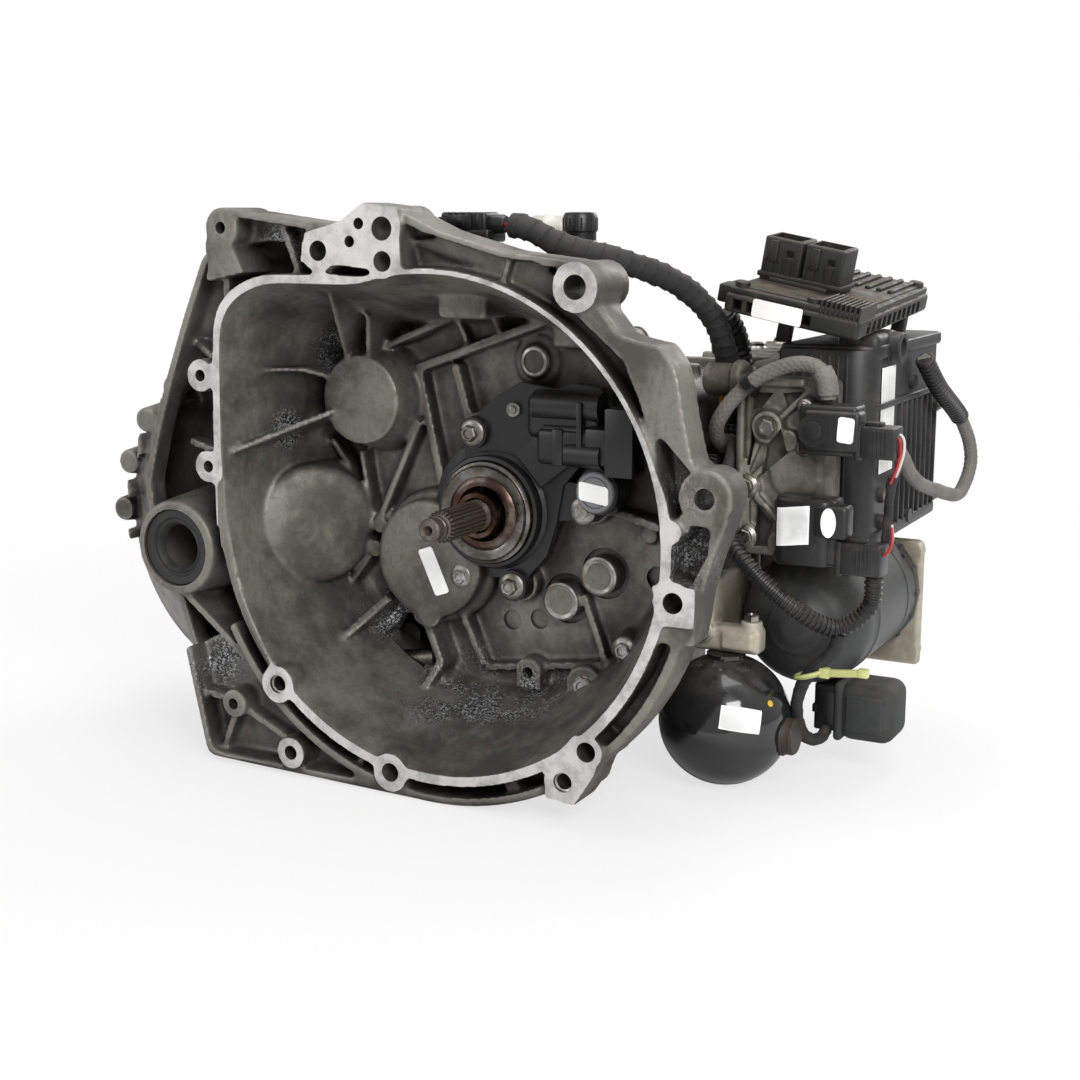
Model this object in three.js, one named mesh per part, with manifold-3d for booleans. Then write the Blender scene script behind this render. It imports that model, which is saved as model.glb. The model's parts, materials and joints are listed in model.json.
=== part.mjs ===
// Six-speed transverse manual gearbox with an electro-hydraulic shift unit, as an assembly of separate pieces.
// Millimetres. X points right, Y points from the engine face towards the end cover, Z points up.
// Everything is laid out from the input shaft axis on the engine face, and the assembly is moved at the end
// so that its origin is under the middle of the part, on the surface that it stands on.
import * as THREE from 'three';
import { mergeVertices } from 'three/addons/utils/BufferGeometryUtils.js';
import Module from 'manifold-3d';

const wasm = await Module();
wasm.setup();

// ---- driving dimensions ----
const gap = 0.3; // air between pieces that touch
const wall = 7; // casting wall
const gasketGap = 0.3; // joint between two castings

const bellRadius = 160; // machined inner edge of the engine face
const bellCorner = 152; // height of the squared upper left corner of that edge
const bellLip = 7; // width of the machined lip
const bellFrame = 21; // from the inner edge to the outer edge of the frame
const bellDepth = 104; // engine face to the bell floor
const floorThickness = 8;
const floorRatio = 0.8; // size of the bell floor against the engine face
const frameDepth = 32; // depth of the double-walled frame
const pocketDepth = 24;
const boltRadius = 6.4; // clearance hole of an M12 screw
const bossRadius = 13;

const toothModule = 4;
const toothSum = 40; // teeth of a forward pair together, which sets the distance between the shafts
const layshaftAngle = 215; // degrees, direction from the input shaft to the output shaft
const pinionTeeth = 14;
const ringTeeth = 56;
const finalAngle = 173.5; // degrees, direction from the output shaft to the differential
const drivingTeeth = [9, 13, 17, 20, 23, 25]; // first to sixth gear, on the input shaft
const reverseDriving = 9;
const reverseIdler = 14;
const reverseDriven = 24;

const gearWidth = 15;
const pairGap = 4; // between one synchro group and the next
const ringWidth = 28;
const reverseWidth = 12;
const sleeveWidth = 12;
const sleeveRadius = 44;
const dogLength = 6;
const shiftTravel = 7; // each way from neutral
const synchroGap = sleeveWidth + 2 * (shiftTravel + 1); // free length between the two gears of a synchro
const inputJournal = 13; // radius of the input shaft inside the box
const outputJournal = 20; // radius of the output shaft under the gears
const railRadius = 7;
const sealBore = 17;

const splineRadius = 10.5;
const splineTeeth = 20;
const pilotRadius = 7.5;
const releaseRadius = 34.5; // outside of the clutch release bearing
const releaseReach = 36; // bell floor to the front of the release bearing
const releaseStroke = 8; // travel of the release bearing towards the engine

const accumulatorRadius = 45;
const pumpRadius = 46;

// ---- places worked out from them ----
const degrees = THREE.MathUtils.degToRad;
const away = (from, angle, length) => ({
  x: from.x + length * Math.cos(degrees(angle)),
  z: from.z + length * Math.sin(degrees(angle)),
});
const inputAxis = { x: 0, z: 0 };
const outputAxis = away(inputAxis, layshaftAngle, toothModule * toothSum / 2);
const finalAxis = away(outputAxis, finalAngle, toothModule * (pinionTeeth + ringTeeth) / 2);
const drivenTeeth = drivingTeeth.map((teeth) => toothSum - teeth);
const rootDepth = 0.95 * toothModule;
const dogRadius = (toothModule * Math.min(...drivenTeeth)) / 2 - rootDepth - gap; // inside every gear's teeth
const hubRadius = dogRadius + 1;

const floorBack = bellDepth + floorThickness;
const releaseFace = bellDepth - releaseReach;
const caseFront = floorBack + gasketGap;
const ringStart = caseFront + 10;
const reverseStart = ringStart + ringWidth + 6;
const groupLength = 2 * gearWidth + synchroGap;
const firstGroup = reverseStart + reverseWidth + 6;
const wallStart = firstGroup + 2 * groupLength + pairGap + 6; // the case's rear wall
const wallBack = wallStart + 12;
const coverFront = wallBack + gasketGap;
const lastGroup = wallBack + 6;
const coverInside = lastGroup + groupLength + 6;
const coverBack = coverInside + wall;
const groupStarts = [firstGroup, firstGroup + groupLength + pairGap, lastGroup];
const gearStart = (gear) => groupStarts[Math.floor(gear / 2)] + (gear % 2) * (gearWidth + synchroGap);
const sleeveMiddle = (group) => groupStarts[group] + gearWidth + synchroGap / 2;

// The reverse idler sits where it meshes with both shafts at once.
const idlerReach = toothModule * (reverseDriving + reverseIdler) / 2;
const idlerSpan = toothModule * (reverseIdler + reverseDriven) / 2;
const shaftDistance = toothModule * toothSum / 2;
const idlerTurn = Math.acos(
  (idlerReach ** 2 + shaftDistance ** 2 - idlerSpan ** 2) / (2 * idlerReach * shaftDistance));
const idlerAngle = layshaftAngle - THREE.MathUtils.radToDeg(idlerTurn);
const idlerAxis = away(inputAxis, idlerAngle, idlerReach);
const railAxis = { x: 8.5 * toothModule, z: -26 * toothModule };

// The case wraps the gears, so its outlines are drawn in modules.
const inModules = (corners) => corners.map(([x, z]) => [x * toothModule, z * toothModule]);

// ---- solids ----
function solid(geometry) {
  const bare = geometry.index ? geometry.toNonIndexed() : geometry.clone();
  bare.deleteAttribute('normal');
  bare.deleteAttribute('uv');
  const merged = mergeVertices(bare, 1e-3);
  const corners = merged.index.array;
  const triVerts = [];
  for (let i = 0; i < corners.length; i += 3) {
    const [a, b, c] = corners.slice(i, i + 3);
    if (a !== b && b !== c && c !== a) triVerts.push(a, b, c); // a face on the turning axis has no area
  }
  return new wasm.Manifold(new wasm.Mesh({
    numProp: 3,
    vertProperties: Float32Array.from(merged.attributes.position.array),
    triVerts: Uint32Array.from(triVerts),
  }));
}

const join = (...parts) => parts.reduce((whole, part) => whole.add(part));
const cut = (body, ...tools) => tools.reduce((rest, tool) => rest.subtract(tool), body);

// Round solids are drawn inside their circle and round holes outside it, so that a turning shaft clears its bore.
const roundSides = 16;
const roomy = (radius, sides = roundSides) => radius / Math.cos(Math.PI / sides);

function cylinder(radius, axis, front, back, sides = roundSides) {
  const geometry = new THREE.CylinderGeometry(radius, radius, back - front, sides);
  return solid(geometry.translate(axis.x, (front + back) / 2, axis.z));
}

const hole = (radius, axis, front, back, sides = roundSides) =>
  cylinder(roomy(radius, sides), axis, front, back, sides);

function cone(frontRadius, backRadius, axis, front, back, sides = roundSides) {
  const geometry = new THREE.CylinderGeometry(backRadius, frontRadius, back - front, sides);
  return solid(geometry.translate(axis.x, (front + back) / 2, axis.z));
}

// A cylinder from one point to another.
function rod(radius, start, end, sides = 10) {
  const from = new THREE.Vector3(...start);
  const to = new THREE.Vector3(...end);
  const along = to.clone().sub(from);
  const geometry = new THREE.CylinderGeometry(radius, radius, along.length(), sides);
  const turn = new THREE.Quaternion().setFromUnitVectors(new THREE.Vector3(0, 1, 0), along.clone().normalize());
  geometry.applyQuaternion(turn);
  const middle = from.add(to).multiplyScalar(0.5);
  return solid(geometry.translate(middle.x, middle.y, middle.z));
}

function box([x0, x1], [y0, y1], [z0, z1]) {
  const geometry = new THREE.BoxGeometry(x1 - x0, y1 - y0, z1 - z0);
  return solid(geometry.translate((x0 + x1) / 2, (y0 + y1) / 2, (z0 + z1) / 2));
}

// A shape drawn in X and Z, pushed from front to back along Y.
function prism(shape, front, back, curveSegments = 6) {
  const geometry = new THREE.ExtrudeGeometry(shape, { depth: back - front, bevelEnabled: false, curveSegments });
  return solid(geometry.rotateX(Math.PI / 2).translate(0, back, 0));
}

function polygon(points, front, back) {
  return prism(new THREE.Shape(points.map(([x, z]) => new THREE.Vector2(x, z))), front, back);
}

// A straight rib from one point of the X-Z plane to another.
function rib([x0, z0], [x1, z1], thickness, front, back) {
  const length = Math.hypot(x1 - x0, z1 - z0);
  const geometry = new THREE.BoxGeometry(length, back - front, thickness);
  geometry.rotateY(-Math.atan2(z1 - z0, x1 - x0));
  return solid(geometry.translate((x0 + x1) / 2, (front + back) / 2, (z0 + z1) / 2));
}

// A ring turned about Y, from a closed profile of [radius, y] corners.
function turned(profile, axis, sides = roundSides) {
  const points = profile.map(([radius, y]) => new THREE.Vector2(radius, y));
  const geometry = new THREE.LatheGeometry([...points, points[0]], sides);
  return solid(geometry.translate(axis.x, 0, axis.z));
}

// A round lead or hose through the given points.
function lead(points, radius, steps, sides = 8) {
  const curve = new THREE.CatmullRomCurve3(points.map((point) => new THREE.Vector3(...point)));
  const section = new THREE.Shape();
  for (let side = 0; side < sides; side += 1) {
    const angle = (2 * Math.PI * side) / sides;
    const corner = [radius * Math.cos(angle), radius * Math.sin(angle)];
    if (side) section.lineTo(...corner); else section.moveTo(...corner);
  }
  section.closePath();
  return solid(new THREE.ExtrudeGeometry(section, { extrudePath: curve, steps, bevelEnabled: false }));
}

// ---- outlines seen from the engine, as a distance from a middle point in each direction ----
const middle = { x: -10, z: 0 };

// How far a ray from a point reaches to the far side of a circle.
function circleReach(circle, from, angle) {
  const dx = circle.x - from.x;
  const dz = circle.z - from.z;
  const along = dx * Math.cos(angle) + dz * Math.sin(angle);
  const across = dx * Math.sin(angle) - dz * Math.cos(angle);
  const room = circle.r ** 2 - across ** 2;
  return room > 0 ? along + Math.sqrt(room) : 0;
}

// How far a ray from a point reaches to the far side of a polygon.
function polygonReach(corners, from, angle) {
  let reach = 0;
  corners.forEach(([ax, az], i) => {
    const [bx, bz] = corners[(i + 1) % corners.length];
    const ex = bx - ax;
    const ez = bz - az;
    const determinant = Math.sin(angle) * ex - Math.cos(angle) * ez;
    if (Math.abs(determinant) < 1e-9) return;
    const distance = ((az - from.z) * ex - (ax - from.x) * ez) / determinant;
    const along = (Math.cos(angle) * (az - from.z) - Math.sin(angle) * (ax - from.x)) / determinant;
    if (along >= -1e-9 && along <= 1 + 1e-9) reach = Math.max(reach, distance);
  });
  return reach;
}

const reachOf = (shapes, from, angle) => Math.max(
  ...shapes.map((shape) => (Array.isArray(shape) ? polygonReach : circleReach)(shape, from, angle)));

// A closed skin over rings of points, each ring at its own depth: [y, angle => distance] from front to back.
function loft(sections, from, sides = 40) {
  const positions = [];
  const ring = ([y, reach]) => Array.from({ length: sides }, (_, i) => {
    const angle = (2 * Math.PI * i) / sides;
    const distance = reach(angle);
    return [from.x + distance * Math.cos(angle), y, from.z + distance * Math.sin(angle)];
  });
  const rings = sections.map(ring);
  const face = (a, b, c) => positions.push(...a, ...b, ...c);
  for (let level = 0; level + 1 < rings.length; level += 1) {
    for (let i = 0; i < sides; i += 1) {
      const next = (i + 1) % sides;
      const [a, b, c, d] = [rings[level][i], rings[level][next], rings[level + 1][next], rings[level + 1][i]];
      face(a, c, b);
      face(a, d, c);
    }
  }
  const front = [from.x, sections[0][0], from.z];
  const back = [from.x, sections[sections.length - 1][0], from.z];
  for (let i = 0; i < sides; i += 1) {
    const next = (i + 1) % sides;
    face(front, rings[0][i], rings[0][next]);
    face(back, rings[rings.length - 1][next], rings[rings.length - 1][i]);
  }
  const geometry = new THREE.BufferGeometry();
  geometry.setAttribute('position', new THREE.Float32BufferAttribute(positions, 3));
  return solid(geometry);
}

// ---- gears ----
// Where a gear needs a tooth so that it meshes with another gear that lies in the given direction.
function meshedPhase(phase, teeth, direction, otherTeeth) {
  return direction + Math.PI + ((direction - phase) * teeth) / otherTeeth + Math.PI / otherTeeth;
}

// A straight-cut gear with plain pointed teeth, one of them at the angle of its phase.
function gear(teeth, axis, phase, front, width, bore = 0) {
  const pitch = (toothModule * teeth) / 2;
  const root = pitch - rootDepth;
  const tip = pitch + 0.7 * toothModule;
  const step = (2 * Math.PI) / teeth;
  const corners = [[root, -0.3], [tip, 0], [root, 0.3]];
  const shape = new THREE.Shape();
  for (let tooth = 0; tooth < teeth; tooth += 1) {
    corners.forEach(([radius, part], i) => {
      const angle = phase + step * (tooth + part);
      const point = [axis.x + radius * Math.cos(angle), axis.z + radius * Math.sin(angle)];
      if (tooth || i) shape.lineTo(...point); else shape.moveTo(...point);
    });
  }
  shape.closePath();
  if (bore) shape.holes.push(new THREE.Path().absarc(axis.x, axis.z, roomy(bore), 0, 2 * Math.PI, true));
  return prism(shape, front, front + width, roundSides / 2);
}

const toOutput = degrees(layshaftAngle);
const drivingPhase = toOutput;
const drivenPhase = (gearIndex) =>
  meshedPhase(drivingPhase, drivingTeeth[gearIndex], toOutput, drivenTeeth[gearIndex]);
const pinionPhase = degrees(finalAngle);
const ringPhase = meshedPhase(pinionPhase, pinionTeeth, degrees(finalAngle), ringTeeth);
const idlerPhase = meshedPhase(drivingPhase, reverseDriving, degrees(idlerAngle), reverseIdler);
const idlerToOutput = Math.atan2(outputAxis.z - idlerAxis.z, outputAxis.x - idlerAxis.x);
const reversePhase = meshedPhase(idlerPhase, reverseIdler, idlerToOutput, reverseDriven);

// ---- materials ----
const finish = (colour, roughness, metalness) => () =>
  new THREE.MeshStandardMaterial({ color: colour, roughness, metalness });
const castAlloy = finish(0x8a857c, 0.55, 0.8);
const dirtyAlloy = finish(0xa39a80, 0.7, 0.5);
const steel = finish(0x9a9a98, 0.35, 1);
const gearSteel = finish(0x77767a, 0.4, 1);
const rustySteel = finish(0x4a3526, 0.7, 0.7);
const blackPlastic = finish(0x1c1c1c, 0.5, 0);
const modulePlastic = finish(0x3b3b3d, 0.55, 0);
const blackGloss = finish(0x0b0b0c, 0.2, 0.2);
const greyPaint = finish(0x3c4041, 0.6, 0.1);
const rubber = finish(0x1f1f20, 0.85, 0);
const sleeveCloth = finish(0x7a7568, 0.85, 0);

const gearbox = new THREE.Group();
function piece(name, body, material) {
  const mesh = body.getMesh();
  const geometry = new THREE.BufferGeometry();
  geometry.setAttribute('position', new THREE.Float32BufferAttribute(mesh.vertProperties, 3));
  geometry.setIndex(new THREE.Uint32BufferAttribute(mesh.triVerts, 1));
  geometry.computeVertexNormals();
  const made = new THREE.Mesh(geometry, material());
  made.name = name;
  gearbox.add(made);
}

// ---- bearings ----
// Seats are [bore, outside, front, width]: the shaft, the castings and the bearings all read them.
const bearings = {
  input_bearing_front: { axis: inputAxis, bore: inputJournal, outside: 28, front: floorBack - 13, width: 13 },
  input_bearing_rear: { axis: inputAxis, bore: inputJournal, outside: 28, front: wallStart - 2, width: 13 },
  output_bearing_front: { axis: outputAxis, bore: 15, outside: 31, front: floorBack - 16, width: 15 },
  output_bearing_rear: { axis: outputAxis, bore: outputJournal, outside: 34, front: wallStart - 2, width: 13 },
  differential_bearing_front: { axis: finalAxis, bore: 26, outside: 42, front: floorBack - 20, width: 16 },
  differential_bearing_rear: { axis: finalAxis, bore: 26, outside: 42, front: ringStart + 54, width: 16 },
};

function bearingSolid({ axis, bore, outside, front, width }) {
  const inner = roomy(bore + gap);
  const outer = outside - gap;
  return turned([[inner, front], [outer, front], [outer, front + width], [inner, front + width]], axis);
}

// ---- bell housing ----
// Its outlines and screw bosses are drawn for this radius and spread to the one that is set.
const drawnRadius = 160;
const across = (length) => (length * bellRadius) / drawnRadius;
const spread = (rows) => rows.map(([x, z, ...rest]) => [across(x), across(z), ...rest]);

const cornerShape = [
  [0, 0], [0, bellCorner], [across(-122), bellCorner], [across(-146), bellCorner - 10],
  [across(-158), bellCorner - 26], [-bellRadius, 80], [-bellRadius, 0],
];
const bellEdge = { x: 0, z: 0, r: bellRadius };
const innerReach = (grow) => (angle) => reachOf([bellEdge, cornerShape], middle, angle) + grow;

const ringTip = toothModule * (ringTeeth / 2 + 0.7);
const podInside = ringTip + 3;
const podEdge = { ...finalAxis, r: podInside + wall };
const footHeight = Math.min(-(bellRadius + bellFrame), finalAxis.z - podEdge.r); // what the part stands on
const frameShape = spread([
  [0, -181], [-185, -177], [-202, -100], [-206, -64], [-172, -45], [-168, 60], [-168, 150], [-171, 178], [-158, 200],
  [-60, 188], [-32, 200], [4, 198], [54, 183], [118, 166], [140, 60],
]);
const skirtShape = spread([
  [0, -181], [-180, -173], [-212, -90], [-222, -30], [-208, 60], [-192, 130], [-176, 176], [-140, 184], [-60, 180],
  [30, 180], [100, 150],
]);
const frameEdge = { x: 0, z: 0, r: bellRadius + bellFrame };
const frameReach = (angle) => reachOf([frameEdge, frameShape], middle, angle);
const skirtReach = (angle) => reachOf([frameEdge, skirtShape], middle, angle);

const caseShape = inModules([
  [26.25, 17.5], [23.75, 20], [0, 18], [-17.5, 15], [-30, 2.5], [-35, -12.5], [-31.25, -25], [-15, -31], [9, -30.5],
  [23.75, -25], [26.25, -22.5],
]);
const jointEdge = { x: 0, z: 0, r: bellRadius - 18 };
const jointReach = (angle) => reachOf([jointEdge, podEdge, caseShape], middle, angle) + wall / 2;

// Moves each corner of an outline away from the middle point.
const grown = (corners, grow) => corners.map(([x, z]) => {
  const distance = Math.hypot(x - middle.x, z - middle.z);
  const scale = (distance + grow) / distance;
  return [middle.x + (x - middle.x) * scale, middle.z + (z - middle.z) * scale];
});

// Screw bosses of the engine face: [x, z, boss radius, hole radius].
const flangeBosses = spread([
  [-156, 187, 13, 4], [-176, 90, 10, 4], [-172, 29, 10, 4], [-120, -116, bossRadius, boltRadius],
  [-160, -136, 10, 4], [-111, -163, 11, 5], [-31, -164, bossRadius, boltRadius],
  [96, -150, bossRadius, boltRadius], [112, -128, 11, boltRadius], [168, -28, bossRadius, boltRadius],
  [186, 35, 17, boltRadius], [103, 154, 15, boltRadius + 1], [-78, 173, bossRadius, boltRadius],
  [-30, 187, 14, boltRadius], [-30, 167, 11, 5],
]);

const bossSides = 10;
const holeSides = 8;
const floorBosses = [ // [x, z, radius, height above the floor]
  [25, 100, 11, 5], [42, -62, 13, 9], [70, -42, 13, 9], [4, -79, 6, 8], [25, -75, 6, 8], [20, -114, 10, 12],
  [62, -118, 12, 12],
];
const upperBulge = { x: -102, z: 68 };
const padHeight = 8; // of the machined pad that carries the clutch actuator
const actuatorFoot = 47;
const neck = { radius: 36, back: bellDepth - 12 }; // of the driveshaft seal
const plugSeatTop = bellRadius + 18; // seat of the plug bracket
const fittingSeatTop = bellRadius - 2; // seat of the fluid fitting

function bellHousing() {
  const outer = join(
    loft([[0, frameReach], [frameDepth + 2, frameReach]], middle),
    loft([[frameDepth - 2, skirtReach], [floorBack, jointReach]], middle),
    ...flangeBosses.map(([x, z, radius]) => cylinder(radius, { x, z }, 0, frameDepth, bossSides)),
    box([-18, 18], [44, 76], [120, plugSeatTop]),
    box([41, 69], [floorBack - 22, floorBack], [110, fittingSeatTop]),
    cylinder(neck.radius, finalAxis, 0, neck.back),
  );
  const cavityBack = (angle) => innerReach(0)(angle) * floorRatio;
  const cavity = cut(loft([[-1, innerReach(0)], [bellDepth, cavityBack]], middle),
    cylinder(neck.radius, finalAxis, -2, neck.back));
  const lip = loft([[-1, innerReach(bellLip)], [pocketDepth, innerReach(bellLip)]], middle);
  const pockets = cut(
    loft([[-1, (angle) => frameReach(angle) - wall], [pocketDepth, (angle) => frameReach(angle) - wall]], middle),
    lip,
    ...flangeBosses.map(([x, z, radius]) => cylinder(radius + 2, { x, z }, -2, frameDepth, bossSides)),
    ...[-70, -15, 20, 60, 240].map((angle) => {
      const [cos, sin] = [Math.cos(degrees(angle)), Math.sin(degrees(angle))];
      return rib([150 * cos, 150 * sin], [190 * cos, 190 * sin], 6, -2, frameDepth);
    }),
  );

  const bulge = cone(92, 108, finalAxis, bellDepth - 20, bellDepth + 2, 24).intersect(outer);
  const domeFront = bearings.output_bearing_front.front - wall;
  const ribEnds = [[-88, 120], [-118, 118], [-136, 92], [-140, 62], [-126, 30], [-70, 30], [-55, 86], [-40, 118]];
  const inside = join(
    cut(join(cone(34, 42, outputAxis, domeFront, bellDepth + 2), cylinder(28, outputAxis, domeFront - 3, domeFront + 1)),
      cylinder(actuatorFoot + 1, inputAxis, 0, bellDepth - padHeight)),
    cone(24, 37, upperBulge, bellDepth - 34, bellDepth + 2),
    cylinder(actuatorFoot - 1, inputAxis, bellDepth - padHeight, bellDepth + 2),
    ...ribEnds.map(([x, z]) => rib([upperBulge.x, upperBulge.z], [x, z], 5, bellDepth - 22, bellDepth + 2)),
    ...[[0, 118, 12, 50], [50, 105, 30, 50], [95, 40, 50, 20], [-60, -118, -64, -84], [0, -118, -24, -78]]
      .map(([x0, z0, x1, z1]) => rib([x0, z0], [x1, z1], 5, bellDepth - padHeight, bellDepth + 2)),
    ...floorBosses.map(([x, z, radius, height]) =>
      cylinder(radius, { x, z }, bellDepth - height, bellDepth + 2, holeSides)),
  );

  const bulgeHollow = cut(
    cone(84, 104, finalAxis, bellDepth - 12, floorBack + 1, 24),
    cylinder(bearings.differential_bearing_front.outside + wall, finalAxis, 0, floorBack + 2));
  const skirtHollow = cut(
    loft([[frameDepth + 14, (angle) => skirtReach(angle) - 2 * wall], [floorBack + 1, (angle) => jointReach(angle) - wall]],
      middle),
    loft([[frameDepth, (angle) => innerReach(wall)(angle)], [floorBack + 2, (angle) => cavityBack(angle) + wall]], middle),
    cylinder(bearings.differential_bearing_front.outside + wall, finalAxis, 0, floorBack + 2),
    box([-60, 200], [0, 200], [-200, 200]),
    box([-400, 200], [0, 200], [60, 200]),
    box([-400, 200], [0, 200], [-200, -110]));

  const seats = ['input_bearing_front', 'output_bearing_front', 'differential_bearing_front'].map((name) => {
    const { axis, outside, front } = bearings[name];
    return hole(outside, axis, front - gap, floorBack + 1);
  });
  return cut(
    join(cut(outer, cavity, pockets), bulge, inside, cylinder(12, idlerAxis, floorBack - 2, floorBack + 8, bossSides),
      ...flangeBosses.map(([x, z, radius]) => cylinder(radius, { x, z }, 0, frameDepth, bossSides))),
    bulgeHollow, skirtHollow, ...seats,
    hole(sealBore + 10, finalAxis, -1, bellDepth),
    hole(sealBore, inputAxis, bellDepth - 30, floorBack + 1),
    hole(8 + gap, idlerAxis, floorBack - 4, floorBack + 9),
    ...flangeBosses.map(([x, z, , radius]) => hole(radius, { x, z }, -1, frameDepth + 30, holeSides)),
    hole(4, { x: 20, z: -114 }, bellDepth - 13, bellDepth - 2, holeSides),
  );
}
piece('bell_housing', bellHousing(), castAlloy);

// ---- gear case and end cover ----
const podBack = ringStart + ringWidth + 8;
const rearSeat = bearings.differential_bearing_rear;
const podEnd = rearSeat.front + rearSeat.width + wall;
const footWidth = 34;
const podSides = 28;

function gearCase() {
  const rearTube = rearSeat.outside + wall;
  const outer = join(
    loft([[caseFront, jointReach], [caseFront + 12, jointReach]], middle),
    polygon(grown(caseShape, wall), caseFront + 10, wallBack),
    cylinder(podInside + wall, finalAxis, caseFront + 2, podBack, podSides),
    cone(podInside + wall, rearTube, finalAxis, podBack - gap, podBack + 22, podSides),
    cylinder(rearTube, finalAxis, podBack, podEnd),
    ...[-75, 45].map((x) => box([x, x + footWidth], [wallBack - 60, wallBack - 20], [footHeight, -25 * toothModule])),
    ...[38, 88, 138, 188].map((y) => box([15 * toothModule, 25 * toothModule], [floorBack + y, floorBack + y + 6],
      [17.5 * toothModule, 24 * toothModule])),
  );
  const hollow = join(
    polygon(caseShape, caseFront - 1, wallStart),
    cylinder(podInside, finalAxis, caseFront - 1, podBack - wall, podSides),
    cone(podInside, rearSeat.outside, finalAxis, podBack - wall - gap, podBack + 18, podSides),
    hole(rearSeat.outside, finalAxis, podBack, rearSeat.front + rearSeat.width + gap),
    hole(sealBore + 10, finalAxis, podBack, podEnd + 1),
  );
  return cut(outer, hollow,
    hole(bearings.input_bearing_rear.outside, inputAxis, wallStart - 1, wallBack + 1),
    hole(bearings.output_bearing_rear.outside, outputAxis, wallStart - 1, wallBack + 1),
    hole(railRadius + gap, railAxis, wallStart - 1, wallBack + 1, holeSides));
}
piece('gear_case', gearCase(), castAlloy);

const coverShape = inModules([
  [15, 12.5], [0, 16.5], [-12.5, 12.5], [-27.5, 1.25], [-30.5, -12.5], [-27, -22.5], [-15, -27], [9, -30.5], [14, -27],
]);
function endCover() {
  const outer = join(
    polygon(grown(caseShape, wall), coverFront, coverFront + 10),
    polygon(grown(coverShape, wall), coverFront, coverBack - 3),
    polygon(coverShape, coverFront, coverBack));
  const hollow = polygon(coverShape, coverFront - 1, coverInside);
  return cut(outer, hollow);
}
piece('end_cover', endCover(), castAlloy);

// ---- input shaft ----
const splineStart = 16;
const splineEnd = releaseFace - releaseStroke;
function inputShaft() {
  const splineStep = (2 * Math.PI) / splineTeeth;
  const spline = new THREE.Shape();
  for (let tooth = 0; tooth < splineTeeth; tooth += 1) {
    [[splineRadius - 1.8, -0.2], [splineRadius, -0.12], [splineRadius, 0.2]]
      .forEach(([radius, part], i) => {
        const angle = splineStep * (tooth + part);
        const point = [radius * Math.cos(angle), radius * Math.sin(angle)];
        if (tooth || i) spline.lineTo(...point); else spline.moveTo(...point);
      });
  }
  spline.closePath();
  const seat = inputJournal;
  const step = seat + 1.5;
  const body = turned([
    [0, 1], [pilotRadius - 1, 1], [pilotRadius, 3], [pilotRadius, splineStart - 4], [splineRadius - 3, splineStart - 4],
    [splineRadius - 3, splineEnd], [splineRadius, splineEnd + 2], [splineRadius, floorBack - 15.5], [seat, floorBack - 14],
    [seat, coverInside - 3], [0, coverInside - 3],
  ], inputAxis);
  const collar = turned([[0, floorBack + gap], [step, floorBack + gap], [step, floorBack + 5], [0, floorBack + 5]],
    inputAxis);
  return cut(join(
    body, collar, prism(spline, splineStart, splineEnd),
    gear(drivingTeeth[0], inputAxis, drivingPhase, gearStart(0), gearWidth),
    gear(drivingTeeth[1], inputAxis, drivingPhase, gearStart(1), gearWidth),
    gear(reverseDriving, inputAxis, drivingPhase, reverseStart, reverseWidth),
  ), cone(3, 1, inputAxis, 0, 8, 8));
}
piece('input_shaft', inputShaft(), rustySteel);

for (let i = 2; i < drivingTeeth.length; i += 1) {
  const body = gear(drivingTeeth[i], inputAxis, drivingPhase, gearStart(i), gearWidth, inputJournal + gap);
  piece(`input_gear_${i + 1}`, body, gearSteel);
}

// ---- output shaft, its six loose gears and the three synchronisers ----
const outputSeat = bearings.output_bearing_front;
const outputShaft = join(
  turned([
    [0, outputSeat.front + 1], [outputSeat.bore, outputSeat.front + 1], [outputSeat.bore, ringStart - 3],
    [outputJournal, ringStart - 3], [outputJournal, coverInside - 3], [0, coverInside - 3],
  ], outputAxis),
  gear(pinionTeeth, outputAxis, pinionPhase, ringStart, ringWidth),
  ...[0, 1, 2].map((group) => // the synchro hubs, pressed on
    cylinder(hubRadius, outputAxis, sleeveMiddle(group) - sleeveWidth / 2, sleeveMiddle(group) + sleeveWidth / 2)),
);
piece('output_shaft', outputShaft, gearSteel);

drivenTeeth.forEach((teeth, i) => {
  const start = gearStart(i);
  const dogStart = i % 2 ? start - dogLength : start + gearWidth - 1;
  const wheel = gear(teeth, outputAxis, drivenPhase(i), start, gearWidth);
  const dog = cylinder(dogRadius, outputAxis, dogStart, dogStart + dogLength + 1);
  const bore = hole(outputJournal + gap, outputAxis, start - 10, start + gearWidth + 10);
  piece(`speed_gear_${i + 1}`, cut(join(wheel, dog), bore), gearSteel);
});
piece('reverse_gear',
  gear(reverseDriven, outputAxis, reversePhase, reverseStart, reverseWidth, outputJournal + gap), gearSteel);

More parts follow.
